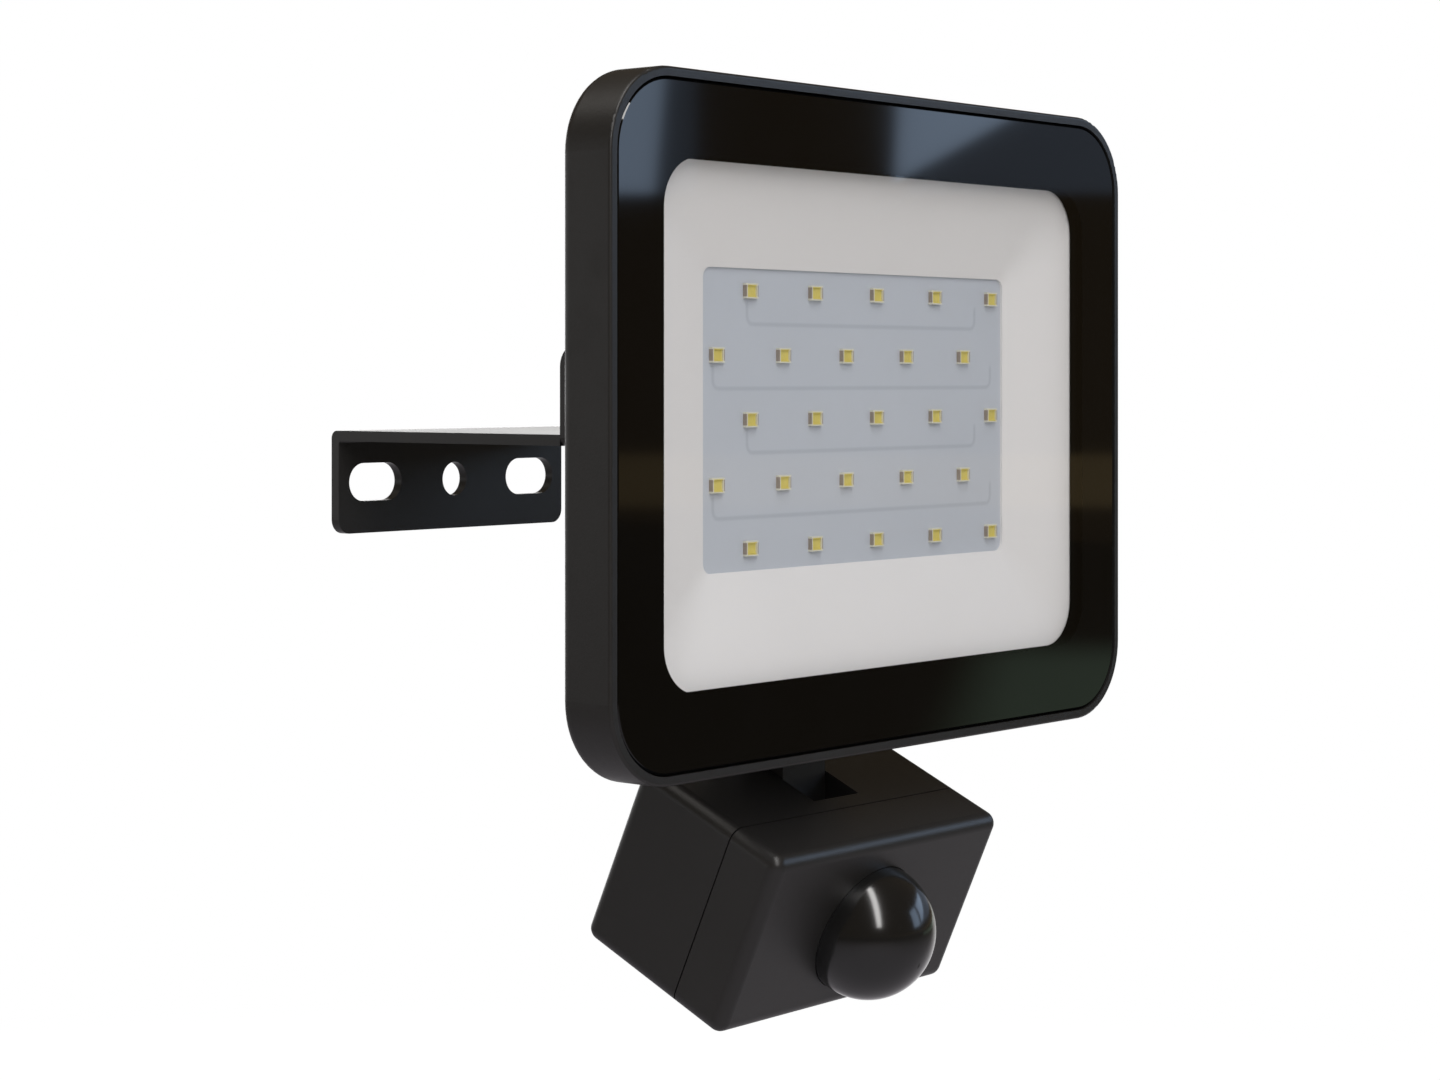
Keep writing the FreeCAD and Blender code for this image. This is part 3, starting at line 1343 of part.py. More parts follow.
def make_sensor_neck():
    """Swivel disc with a split snap stem above and the tilt tab with its knuckle below."""
    body = new_piece("sensor_neck")
    disc = size("neck_disc_width") / 2
    stem = size("neck_stem_width") / 2
    bore = stem - size("neck_stem_wall")
    groove = size("thread_gap")
    outline = sketch_on(body, "XZ_Plane")
    draw_polygon(outline, [
        (bore, disc_bottom + size("face_gap")), (bore, barb_end), (stem - size("neck_barb"), barb_end),
        (stem + size("neck_barb"), barb_start), (stem, barb_start), (stem, disc_top),
        (seal_inside - groove, disc_top), (seal_inside - groove, disc_top - size("neck_seal_height")),
        (seal_outside + groove, disc_top - size("neck_seal_height")), (seal_outside + groove, disc_top),
        (disc, disc_top), (disc, disc_bottom), (ZERO, disc_bottom),
        (ZERO, disc_bottom + size("face_gap"))])
    revolve(body, outline)
    split = sketch_on(body, "XY_Plane", barb_end)
    half_split = size("neck_split_width") / 2
    draw_polygon(split, [(-disc, -half_split), (disc, -half_split), (disc, half_split), (-disc, half_split)])
    pocket(body, split, barb_end - disc_top - size("face_gap") * 2)

    half_tab = size("tab_thickness") / 2
    tab = sketch_on(body, "YZ_Plane")
    draw_polygon(tab, [(-half_tab, ZERO), (half_tab, ZERO), (half_tab, disc_bottom + size("seat_gap")),
                       (-half_tab, disc_bottom + size("seat_gap"))])
    pad(body, tab, size("tab_width"), both_sides=True)
    knuckle = sketch_on(body, "YZ_Plane")
    draw_circle(knuckle, size("tab_end_round") * 2)
    pad(body, knuckle, size("tab_width"), both_sides=True)
    pin = sketch_on(body, "YZ_Plane")
    draw_circle(pin, size("tilt_pin_width") + size("running_gap") * 2)
    pocket(body, pin, size("tab_width") * 2, both_sides=True)
    wire = sketch_on(body, "XY_Plane", disc_bottom + size("seat_gap") * 2)
    draw_circle(wire, size("neck_wire_width"))
    pocket(body, wire, disc_bottom + size("seat_gap") * 2 - size("neck_wire_exit_rise"))
    way_out = sketch_on(body, "XZ_Plane", -(half_tab * 2))
    draw_circle(way_out, size("neck_wire_width"), ZERO,
                size("neck_wire_exit_rise") + size("neck_wire_width") / 2)
    pocket(body, way_out, half_tab * 2, along_normal=True)
    set_on_neck(body)


def make_neck_seal():
    """Seal ring in the groove on top of the swivel disc."""
    body = new_piece("neck_seal")
    low = disc_top - size("neck_seal_height")
    outline = sketch_on(body, "XZ_Plane")
    draw_polygon(outline, [(seal_inside, low), (seal_outside, low), (seal_outside, disc_top),
                           (seal_inside, disc_top)])
    revolve(body, outline)
    set_on_neck(body)


# Sensor head

sensor_middle = (size("sensor_above_axis") - size("sensor_below_axis")) / 2
sensor_height = size("sensor_above_axis") + size("sensor_below_axis")
seam_front = size("sensor_front_reach") - size("front_shell_depth")
seam_back = seam_front - size("shell_seam")
slot_front = size("sensor_front_reach") - size("slot_start")
slot_half = size("tab_width") / 2 + size("slot_gap")
cheek_outside = slot_half + size("slot_wall")
slot_floor = size("tab_end_round") + size("slot_floor_gap")
shell_post_across = size("sensor_width") / 2 - size("shell_post_inset")
shell_post_up = sensor_height / 2 - size("shell_post_inset")
lens_up = sensor_middle - size("lens_below_middle")
front_wall_inside = size("sensor_front_reach") - size("sensor_wall")
sensor_board_back = slot_front + size("slot_wall") + size("moving_gap")
sensor_board_front = sensor_board_back + size("sensor_board_thickness")
screw_seat = size("shell_screw_sink") - size("sensor_back_reach")


def shell_box(label, start, depth):
    """A closed block of the sensor head's outline, from a plane towards the front."""
    body = new_piece(label)
    outline = sketch_on(body, "XY_Plane", start)
    draw_rounded(outline, size("sensor_width"), sensor_height, size("sensor_round"), ZERO, sensor_middle)
    pad(body, outline, depth)
    return body


def hollow_shell(body, start, depth, towards_front):
    """Sinks the room of a shell from its seam, leaving the wall."""
    wall = size("sensor_wall")
    room = sketch_on(body, "XY_Plane", start)
    draw_rounded(room, size("sensor_width") - wall * 2, sensor_height - wall * 2,
                 size("sensor_round") - wall, ZERO, sensor_middle)
    pocket(body, room, depth, along_normal=towards_front)


def draw_shell_corners(sketch, width):
    """A circle at each of the shell screws' places."""
    for x in (-1, 1):
        for y in (-1, 1):
            draw_circle(sketch, width, shell_post_across * x, sensor_middle + shell_post_up * y)


def make_front_shell():
    """Front of the sensor head, with the lens hole and the screws' posts."""
    depth = size("front_shell_depth")
    body = shell_box("sensor_front_shell", seam_front, depth)
    front = size("sensor_front_reach").value
    fillet(body, lambda e: lies_at(e, "Z", front), size("sensor_round") - size("face_gap"))
    hollow_shell(body, seam_front, depth - size("sensor_wall"), towards_front=True)
    posts = sketch_on(body, "XY_Plane", seam_front)
    draw_shell_corners(posts, size("shell_post_width"))
    pad(body, posts, depth - size("sensor_wall") / 2)
    pilots = sketch_on(body, "XY_Plane", seam_front)
    draw_shell_corners(pilots, size("shell_screw_width") + size("thread_gap") * 2)
    pocket(body, pilots, depth - size("sensor_wall") * 2, along_normal=True)
    lens = sketch_on(body, "XY_Plane", size("sensor_front_reach"))
    draw_circle(lens, size("lens_width") + size("face_gap") * 2, ZERO, lens_up)
    pocket(body, lens, size("sensor_wall"))
    set_on_head(body)


def slot_section(extra):
    """Side outline of the slot for the neck's tab, grown outwards by a thickness."""
    top = size("sensor_above_axis") + (size("sensor_wall") if extra is ZERO else ZERO)
    back = -(size("sensor_back_reach") + (size("sensor_wall") if extra is ZERO else ZERO))
    return [
        (top, slot_front + extra), (-slot_floor - extra, slot_front + extra),
        (-slot_floor - extra, -size("slot_bend") - extra / 2),
        (-size("slot_back_drop") - extra, -size("sensor_back_reach")),
        (-size("slot_back_drop") - extra, back), (top, back)]


def add_slot(body):
    """Walls round the neck's tab, and the slot itself, open to the top and to the back."""
    well = sketch_on(body, "YZ_Plane")
    corners = slot_section(size("slot_wall"))
    top = size("sensor_above_axis") - size("sensor_wall") / 2
    back = -size("sensor_back_reach") + size("sensor_wall") / 2
    draw_polygon(well, [(top, corners[0][1]), corners[1], corners[2], (corners[3][0], back), (top, back)])
    pad(body, well, cheek_outside * 2, both_sides=True)
    slot = sketch_on(body, "YZ_Plane")
    draw_polygon(slot, slot_section(ZERO))
    pocket(body, slot, slot_half * 2, both_sides=True)
    pin = sketch_on(body, "YZ_Plane")
    draw_circle(pin, size("tilt_pin_width") + size("running_gap") * 2)
    pocket(body, pin, cheek_outside * 2 + 2, both_sides=True)


def make_rear_shell():
    """Rear of the sensor head, with the neck's slot, screw posts and the knobs' holes."""
    depth = seam_back + size("sensor_back_reach")
    body = shell_box("sensor_rear_shell", -size("sensor_back_reach"), depth)
    rear = -size("sensor_back_reach").value
    fillet(body, lambda e: lies_at(e, "Z", rear), size("sensor_round") - size("face_gap"))
    hollow_shell(body, seam_back, depth - size("sensor_wall"), towards_front=False)
    add_slot(body)
    posts = sketch_on(body, "XY_Plane", seam_back)
    draw_shell_corners(posts, size("shell_post_width"))
    pad(body, posts, depth - size("sensor_wall") / 2, towards_back=True)
    wells = sketch_on(body, "XY_Plane", -size("sensor_back_reach"))
    draw_shell_corners(wells, size("shell_screw_head_width") + size("seat_gap"))
    pocket(body, wells, size("shell_screw_sink"), along_normal=True)
    holes = sketch_on(body, "XY_Plane", seam_back)
    draw_shell_corners(holes, size("shell_screw_width") + size("seat_gap") * 2)
    pocket(body, holes, seam_back - screw_seat)
    shafts = sketch_on(body, "XZ_Plane", size("sensor_below_axis"))
    for index in (-1, 0, 1):
        draw_circle(shafts, size("knob_shaft_width") + size("running_gap") * 2,
                    size("knob_spacing") * index, -size("knob_back"))
    pocket(body, shafts, size("sensor_wall"))
    set_on_head(body)


def make_shell_seal():
    """Thin seal in the seam between the two shells, set in from the outside."""
    inset = size("shell_seal_inset")
    body = new_piece("shell_seal")
    outline = sketch_on(body, "XY_Plane", seam_back)
    for edge in (inset, inset + size("shell_seal_width")):
        draw_rounded(outline, size("sensor_width") - edge * 2, sensor_height - edge * 2,
                     size("sensor_round") - edge, ZERO, sensor_middle)
    pad(body, outline, size("shell_seam"))
    set_on_head(body)


def make_shell_screws():
    """Four long screws from the back that draw the shells together."""
    make_screws("shell_screws", screw_seat, size("shell_screw_head_width"),
                size("shell_screw_head_depth"), size("shell_screw_width"), size("shell_screw_length"), -1,
                (-shell_post_across, sensor_middle - shell_post_up),
                (shell_post_across * 2, shell_post_up * 2), set_on_head)


def dome_section(sketch, centre, foot, spring, radius, wall):
    """Half section of a hollow dome: an upright wall from foot to spring, then a quarter circle."""
    inner = radius - wall

    def line(start, end):
        return sketch.addGeometry(Part.LineSegment(
            Vector(start[0].value, start[1].value, 0), Vector(end[0].value, end[1].value, 0)), False)

    def quarter(reach):
        circle = Part.Circle(Vector(centre.value, spring.value, 0), Vector(0, 0, 1), reach.value)
        index = sketch.addGeometry(Part.ArcOfCircle(circle, 0, math.pi / 2), False)
        hold(sketch, index, 3, centre, spring)
        return index

    outside = line((centre + radius, foot), (centre + radius, spring))
    outer_arc = quarter(radius)
    crown = line((centre, spring + radius), (centre, spring + inner))
    inner_arc = quarter(inner)
    inside = line((centre + inner, spring), (centre + inner, foot))
    base = line((centre + inner, foot), (centre + radius, foot))
    joints = [(outside, 2, outer_arc, 1), (outer_arc, 2, crown, 1), (crown, 2, inner_arc, 2),
              (inner_arc, 1, inside, 1), (inside, 2, base, 1), (base, 2, outside, 1)]
    for first, first_end, second, second_end in joints:
        sketch.addConstraint(Sketcher.Constraint("Coincident", first, first_end, second, second_end))
    hold(sketch, outside, 1, centre + radius, foot)
    hold(sketch, outside, 2, centre + radius, spring)
    hold(sketch, outer_arc, 2, centre)
    hold(sketch, crown, 2, centre, spring + inner)
    hold(sketch, inner_arc, 1, None, spring)
    hold(sketch, inside, 2, centre + inner, foot)


def make_lens_dome():
    """Dome lens with a straight collar through the front wall and a flange behind it."""
    body = new_piece("lens_dome")
    radius = size("lens_width") / 2
    flange_front = front_wall_inside
    flange_back = flange_front - size("lens_flange_thickness")
    spring = size("sensor_front_reach") + size("lens_collar")
    section = sketch_on(body, "YZ_Plane")
    dome_section(section, lens_up, flange_back, spring, radius, size("lens_wall"))
    axis = section.addGeometry(
        Part.LineSegment(Vector(lens_up.value, -1, 0), Vector(lens_up.value, 1, 0)), True)
    hold(section, axis, 1, lens_up, as_size(-1))
    hold(section, axis, 2, lens_up, as_size(1))
    revolve(body, section, "Axis0")

    top = lens_up + radius + size("lens_flange")
    bottom = size("sensor_wall") - size("sensor_below_axis") + size("face_gap")
    flange = sketch_on(body, "XY_Plane", flange_back)
    draw_rounded(flange, (radius + size("lens_flange")) * 2, top - bottom, size("lens_flange_round"), ZERO,
                 (top + bottom) / 2)
    draw_circle(flange, (radius - size("lens_wall") / 2) * 2, ZERO, lens_up)
    pad(body, flange, size("lens_flange_thickness"))
    set_on_head(body)


def make_sensor_board():
    """Sensor circuit board in front of the neck's slot."""
    body = new_piece("sensor_board")
    outline = sketch_on(body, "XY_Plane", sensor_board_back)
    draw_rounded(outline, size("sensor_board_width"), size("sensor_board_height"),
                 size("sensor_board_thickness"), ZERO, sensor_middle)
    pad(body, outline, size("sensor_board_thickness"))
    set_on_head(body)


def make_infrared_detector():
    """Detector can behind the dome, with a foot flange and a square window."""
    body = new_piece("infrared_detector")
    radius = size("detector_width") / 2
    foot = sensor_board_front
    flange = size("detector_length") / 10
    window = size("detector_width") / 4
    turn_about(body, "YZ_Plane", ZERO, [
        (ZERO, foot), (radius + flange, foot), (radius + flange, foot + flange), (radius, foot + flange),
        (radius, foot + size("detector_length") - flange), (radius - flange, foot + size("detector_length")),
        (ZERO, foot + size("detector_length"))], lens_up)
    opening = sketch_on(body, "XY_Plane", foot + size("detector_length"))
    draw_polygon(opening, [(window * x, lens_up + window * 0.75 * y)
                           for x, y in ((-1, -1), (1, -1), (1, 1), (-1, 1))])
    pocket(body, opening, flange / 2)
    set_on_head(body)


def make_sensor_relay():
    """Relay block on the back of the sensor board."""
    body = new_piece("sensor_relay")
    add_block(body, -sensor_board_back, -size("relay_across"), -size("relay_drop"), size("relay_width"),
              size("relay_height"), size("relay_depth"))
    chamfer(body, lambda e: runs_along(e, "Z"), size("relay_width") / 20)
    set_on_head(body)


def make_sensor_capacitor():
    """Smoothing capacitor on the back of the sensor board."""
    body = new_piece("sensor_capacitor")
    turn_about(body, "XZ_Plane", size("relay_drop"),
               can_outline(sensor_board_back, size("sensor_capacitor_width"),
                           size("sensor_capacitor_length"), -1), size("relay_across"))
    set_on_head(body)


trimmer_bottom = size("sensor_wall") - size("sensor_below_axis") + size("moving_gap")
trimmer_top = trimmer_bottom + size("trimmer_depth")


def make_trimmers():
    """Three potentiometers on the bottom wall, each with a socket for its knob's shaft."""
    body = new_piece("trimmers")
    body.AllowCompound = True
    half = size("trimmer_size") / 2
    left = -size("knob_spacing")
    outline = sketch_on(body, "XZ_Plane", -trimmer_bottom)
    draw_polygon(outline, [(left + half * x, half * y - size("knob_back"))
                           for x, y in ((-1, -1), (1, -1), (1, 1), (-1, 1))])
    block = pad(body, outline, size("trimmer_depth"), towards_back=True)
    socket = sketch_on(body, "XZ_Plane", -trimmer_bottom)
    draw_circle(socket, size("knob_shaft_width") + size("running_gap") * 2, left, -size("knob_back"))
    well = pocket(body, socket, size("trimmer_depth") - size("sensor_wall") / 2)
    repeat(body, [block, well], "X_Axis", as_size(3), size("knob_spacing"))
    set_on_head(body)


def make_trimmer_board():
    """Narrow circuit board that joins the three potentiometers."""
    body = new_piece("trimmer_board")
    half_width = size("trimmer_board_width") / 2
    half_height = size("trimmer_board_height") / 2
    outline = sketch_on(body, "XZ_Plane", -trimmer_top)
    draw_polygon(outline, [(half_width * x, half_height * y - size("knob_back"))
                           for x, y in ((-1, -1), (1, -1), (1, 1), (-1, 1))])
    pad(body, outline, size("trimmer_board_thickness"), towards_back=True)
    set_on_head(body)


def make_tilt_pin():
    """Pin through cheeks and tab, with its head at one side and a nut at the other."""
    start = cheek_outside + size("face_gap")
    head = size("tilt_pin_head_width") / 2
    shank = size("tilt_pin_width") / 2
    head_end = start + size("tilt_pin_head_depth")
    body = new_piece("tilt_pin")
    outline = sketch_on(body, "XZ_Plane")
    draw_polygon(outline, [
        (-head_end - size("moving_gap"), ZERO), (-head_end - size("moving_gap"), shank), (start, shank),
        (start, head), (head_end - shank / 4, head), (head_end, head - shank / 4), (head_end, ZERO)])
    revolve(body, outline, "H_Axis")
    set_on_head(body)

    nut = new_piece("tilt_pin_nut")
    hexagon = sketch_on(nut, "YZ_Plane", -head_end)
    draw_hexagon(hexagon, size("tilt_pin_head_width"), True)
    pad(nut, hexagon, size("tilt_pin_head_depth"))
    hole = sketch_on(nut, "YZ_Plane", -head_end)
    draw_circle(hole, size("tilt_pin_width") + size("thread_gap") * 2)
    pocket(nut, hole, size("tilt_pin_head_depth"), along_normal=True)
    set_on_head(nut)


def make_knob(label, place):
    """Setting knob: fluted cap under the bottom wall, shaft up into its potentiometer."""
    body = new_piece(label)
    across = size("knob_spacing") * place
    back = -size("knob_back")
    radius = size("knob_width") / 2
    shaft = size("knob_shaft_width") / 2
    top = -(size("sensor_below_axis") + size("moving_gap"))
    bottom = top - size("knob_length")
    bevel = size("knob_grip") / 2
    cap = turn_about(body, "XY_Plane", back, [
        (ZERO, bottom), (radius - bevel, bottom), (radius, bottom + bevel), (radius, top), (shaft, top),
        (shaft, top + size("knob_shaft_length")), (ZERO, top + size("knob_shaft_length"))], across)
    flute = sketch_on(body, "XZ_Plane", -bottom)
    draw_circle(flute, size("knob_flute_width"), across + radius + size("knob_flute_width") / 5, back)
    notch = pocket(body, flute, size("knob_length"))
    flutes = body.newObject("PartDesign::PolarPattern", "flutes")
    flutes.Originals = [notch]
    flutes.Axis = (cap.Profile[0], ["Axis0"])
    flutes.Angle = 360
    flutes.Occurrences = int(size("knob_flutes").value)
    flutes.setExpression("Occurrences", size("knob_flutes").text)
    body.Tip = flutes
    doc.recompute()
    slot = sketch_on(body, "XZ_Plane", -bottom)
    half_slot = size("knob_slot_width") / 2
    half_length = radius * 0.7
    draw_polygon(slot, [(across + half_slot * x, back + half_length * y)
                        for x, y in ((-1, -1), (1, -1), (1, 1), (-1, 1))])
    pocket(body, slot, size("knob_slot_depth"))
    set_on_head(body)


def make_lamp():
    """The floodlight itself: housing, light and driver compartment."""
    make_lamp_housing()
    make_front_glass()
    make_ring("glass_seal", glass_width, glass_height, glass_round, size("glass_seal_width"), glass_back,
              size("glass_seal_thickness"))
    make_reflector()
    make_led_board()
    make_led_chips()
    make_thermal_pad()
    make_lamp_screws()
    make_driver_board()
    make_driver_capacitors()
    make_driver_transformer()
    make_driver_chip()
    make_terminal_block()
    make_terminal_screws()
    make_cover_and_seal()
    make_gland()
    make_pivot_hardware()


def make_sensor():
    """The neck and everything in the sensor head."""
    make_sensor_neck()
    make_neck_seal()
    make_front_shell()
    make_rear_shell()
    make_shell_seal()
    make_shell_screws()
    make_lens_dome()
    make_sensor_board()
    make_infrared_detector()
    make_sensor_relay()
    make_sensor_capacitor()
    make_trimmers()
    make_trimmer_board()
    make_tilt_pin()
    for label, place in (("sensitivity_knob", -1), ("time_knob", 0), ("light_level_knob", 1)):
        make_knob(label, place)


make_wall_bracket()
make_lamp()
make_sensor()

doc.recompute()
for item in doc.Objects:
    if "Invalid" in item.State or "Error" in item.State:
        raise RuntimeError(f"{item.Name} did not build: {item.State}")

os.makedirs("parts", exist_ok=True)
for piece in doc.findObjects("PartDesign::Body"):
    if piece.Shape.isNull() or not piece.Shape.isValid():
        raise RuntimeError(f"{piece.Label} has no sound shape")
    piece.Shape.exportStep(f"parts/{piece.Label}.step")
    print(piece.Label, round(piece.Shape.Volume), len(piece.Shape.Solids))
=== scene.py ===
import math

import bmesh
import bpy
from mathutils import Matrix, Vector


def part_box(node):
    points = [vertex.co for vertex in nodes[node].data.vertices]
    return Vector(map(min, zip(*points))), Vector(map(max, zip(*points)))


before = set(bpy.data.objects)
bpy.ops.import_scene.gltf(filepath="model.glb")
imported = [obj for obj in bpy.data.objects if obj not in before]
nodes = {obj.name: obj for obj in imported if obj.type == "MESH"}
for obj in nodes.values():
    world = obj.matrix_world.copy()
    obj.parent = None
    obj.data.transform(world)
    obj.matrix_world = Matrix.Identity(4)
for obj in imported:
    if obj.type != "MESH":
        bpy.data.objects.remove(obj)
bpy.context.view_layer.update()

# Camera. Level and turned to the lamp's left, so that uprights stay upright, and the picture is
# moved down by a shift instead of a tilt.
camera_data = bpy.data.cameras.new("camera")
camera = bpy.data.objects.new("camera", camera_data)
bpy.context.scene.collection.objects.link(camera)
camera.location = (-0.4364, -0.4459, 0.0223)
look_across, look_along = 0.7643, 0.6449
camera.rotation_euler = (math.radians(90), 0, -math.atan2(look_across, look_along))
camera_data.sensor_width = 36
camera_data.lens = 71.25
camera_data.shift_y = -164 / 1440
camera_data.clip_start = 0.01
camera_data.clip_end = 50
bpy.context.scene.camera = camera
bpy.context.scene.view_settings.view_transform = "Standard"


# Shaders are written as sums on sockets. A Socket is one output of a material's nodes, and
# Python's own operators on it add the Math nodes.
class Socket:
    def __init__(self, output):
        self.output = output

    def node(self, kind, settings=None, inputs=None, output=0):
        """Adds a node beside this one: its settings first, then the values or links of its sockets."""
        made = self.output.id_data.nodes.new(kind)
        for name, value in (settings or {}).items():
            setattr(made, name, value)
        for name, value in (inputs or {}).items():
            socket = made.inputs[name]
            if isinstance(value, Socket):
                self.output.id_data.links.new(value.output, socket)
            else:
                socket.default_value = value
        return Socket(made.outputs[output]) if made.outputs else made

    def sum(self, operation, first, second=0.0):
        return self.node("ShaderNodeMath", {"operation": operation}, {0: first, 1: second})

    def __add__(self, other):
        return self.sum("ADD", self, other)

    def __sub__(self, other):
        return self.sum("SUBTRACT", self, other)

    def __rsub__(self, other):
        return self.sum("SUBTRACT", other, self)

    def __mul__(self, other):
        return self.sum("MULTIPLY", self, other)

    def __truediv__(self, other):
        return self.sum("DIVIDE", self, other)

    def __mod__(self, other):
        return self.sum("FLOORED_MODULO", self, other)

    def __gt__(self, other):
        return self.sum("GREATER_THAN", self, other)

    def __lt__(self, other):
        return self.sum("LESS_THAN", self, other)

    def __abs__(self):
        return self.sum("ABSOLUTE", self)

    __radd__ = __add__

    def least(self, other):
        return self.sum("MINIMUM", self, other)

    def most(self, other):
        return self.sum("MAXIMUM", self, other)

    def step(self, low, high):
        """From 0 at low to 1 at high, with soft ends."""
        return self.node("ShaderNodeMapRange", {"interpolation_type": "SMOOTHSTEP"},
                         {"Value": self, "From Min": low, "From Max": high})

    def blend(self, first, second):
        """A colour between two colours, by this amount."""
        return self.node("ShaderNodeMix", {"data_type": "RGBA"},
                         {"Factor": self, "A": first, "B": second}, 2)

    def length(self):
        return self.node("ShaderNodeVectorMath", {"operation": "LENGTH"}, {0: self}, "Value")

    def along(self, direction):
        """How far this vector reaches along a direction."""
        return self.node("ShaderNodeVectorMath", {"operation": "DOT_PRODUCT"},
                         {0: self, 1: direction}, "Value")

    def axis(self, name):
        return self.node("ShaderNodeSeparateXYZ", None, {"Vector": self}, name)

    def noise(self, scale, detail=2.0, roughness=0.5):
        """Cloudy grain that stays fixed to the piece. Scale is in grains per metre."""
        return self.node("ShaderNodeTexNoise", None,
                         {"Vector": self, "Scale": scale, "Detail": detail, "Roughness": roughness})

    def bump(self, height, strength, distance):
        return self.node("ShaderNodeBump", None,
                         {"Height": height, "Strength": strength, "Distance": distance})


def new_finish(name):
    """An empty material, and the place on the piece that its pattern is measured from."""
    finish = bpy.data.materials.new(name)
    finish.use_nodes = True
    finish.node_tree.nodes.clear()
    start = finish.node_tree.nodes.new("ShaderNodeTexCoord")
    return finish, Socket(start.outputs["Object"])


def surface(place, **inputs):
    """Ends a material in one Principled surface. Names are its sockets, with _ for a space."""
    named = {name.replace("_", " "): value for name, value in inputs.items()}
    shader = place.node("ShaderNodeBsdfPrincipled", None, named)
    place.node("ShaderNodeOutputMaterial", None, {"Surface": shader})


def grey(value, blue=1.0):
    """A grey, with more or less blue."""
    return (value, value, value * blue, 1.0)


def paint(names, finish):
    """Gives CAD nodes one material."""
    for name in names:
        nodes[name].data.materials.clear()
        nodes[name].data.materials.append(finish)


# Floor. A pale studio floor well below the lamp, which is held by its wall bracket. Near the
# lamp it keeps the soft shadow and further out it turns white. Glossy faces see it dark in front,
# with a green rug in the distance, as the black glass mirrors it, and pale behind it.
floor_height = -0.42
floor_mesh = bpy.data.meshes.new("floor")
floor_form = bmesh.new()
bmesh.ops.create_grid(floor_form, x_segments=1, y_segments=1, size=6)
floor_form.to_mesh(floor_mesh)
floor_form.free()
floor = bpy.data.objects.new("floor", floor_mesh)
floor.location = (0, 0, floor_height)
bpy.context.scene.collection.objects.link(floor)
floor_finish, place = new_finish("pale_floor")
seen = place.node("ShaderNodeLightPath", None, None, "Is Camera Ray")
mirrored = place.node("ShaderNodeLightPath", None, None, "Is Glossy Ray")
out = place.length()
far = out.step(0.7, 1.4)
behind = place.axis("X").step(0.1, 0.9) * place.axis("Y").step(-0.5, 0.3)
rug_side = place.along((0.551, 0.8435, 0))
rug_far = place.along((0.8435, -0.551, 0))
rug = rug_side.step(-0.27, -0.14) * rug_far.step(2.4, 2.9) * (1 - rug_far.step(3.9, 4.5))
boards = rug.blend((0.125, 0.100, 0.065, 1.0), (0.50, 0.66, 0.48, 1.0))
shade = out.step(0.2, 3.0).blend((0.40, 0.38, 0.41, 1.0), boards)
tone = mirrored.blend(place.noise(3).blend(grey(0.62), grey(0.66)), shade)
matt = place.node("ShaderNodeBsdfDiffuse", None, {"Color": tone})
glow = seen * 0.55 + mirrored * behind * 0.6
lift = place.node("ShaderNodeEmission", None, {"Color": grey(1.0), "Strength": glow})
near = place.node("ShaderNodeAddShader", None, {0: matt, 1: lift})
white = place.node("ShaderNodeEmission", None, {"Color": grey(1.0), "Strength": 1.0})
mixed = place.node("ShaderNodeMixShader", None, {0: seen * far, 1: near, 2: white})
place.node("ShaderNodeOutputMaterial", None, {"Surface": mixed})
floor_mesh.materials.append(floor_finish)

# Room. Even soft light from all round, and white behind the object. Glossy faces see a dim room
# with the pale backdrop behind the lamp, a brown shelf at eye level and slate-blue windows to
# the right, which the black glass mirrors at its upper corners.
world = bpy.data.worlds.new("room")
world.use_nodes = True
world.node_tree.nodes.clear()
bpy.context.scene.world = world
sky = Socket(world.node_tree.nodes.new("ShaderNodeTexCoord").outputs["Generated"])
to_camera = sky.node("ShaderNodeLightPath", None, None, "Is Camera Ray")
mirrored = sky.node("ShaderNodeLightPath", None, None, "Is Glossy Ray")
mirrored_look = (look_across, -look_along, 0)
depth = sky.along(mirrored_look).most(0.05)
side = sky.along((look_along, look_across, 0)) / depth
height = sky.axis("Z") / depth
ahead = sky.along(mirrored_look).step(0.05, 0.10)
low_sill = height.step(0.062, 0.066)
below_top = 1 - height.step(0.42, 0.48)
left_window = (1 - (side - height * 0.085).step(-0.0295, -0.0270)) * side.step(-0.30, -0.29) * low_sill
right_window = (side - height * 0.04).step(0.057, 0.060) * (height - side * 0.56).step(0.0322, 0.0345)
windows = (left_window + right_window) * below_top * ahead
curtain = side.step(-0.030, -0.028) * (1 - side.step(-0.010, -0.0065)) * low_sill
curtain = (curtain + side.step(0.065, 0.067) * low_sill) * below_top * ahead
shelf = height.step(-0.048, -0.044) * (1 - height.step(-0.029, -0.026)) * ahead
backdrop = sky.axis("Y").step(0.10, 0.45) * (1 - abs(sky.axis("Z")).step(0.02, 0.22))
seen_room = shelf.blend((0.085, 0.062, 0.036, 1.0), (0.30, 0.22, 0.11, 1.0))
seen_room = curtain.least(1.0).blend(seen_room, (0.22, 0.26, 0.33, 1.0))
seen_room = windows.least(1.0).blend(seen_room, (1.38, 1.78, 2.38, 1.0))
seen_room = backdrop.blend(seen_room, (0.85, 0.85, 0.86, 1.0))
soft = sky.node("ShaderNodeBackground", None, {"Color": (0.87, 0.86, 0.865, 1.0), "Strength": 0.50})
dim = sky.node("ShaderNodeBackground", None, {"Color": seen_room, "Strength": 1.0})
bright = sky.node("ShaderNodeBackground", None, {"Color": grey(1.0), "Strength": 1.0})
room = sky.node("ShaderNodeMixShader", None, {0: mirrored, 1: soft, 2: dim})
room = sky.node("ShaderNodeMixShader", None, {0: to_camera, 1: room, 2: bright})
sky.node("ShaderNodeOutputWorld", None, {"Surface": room})


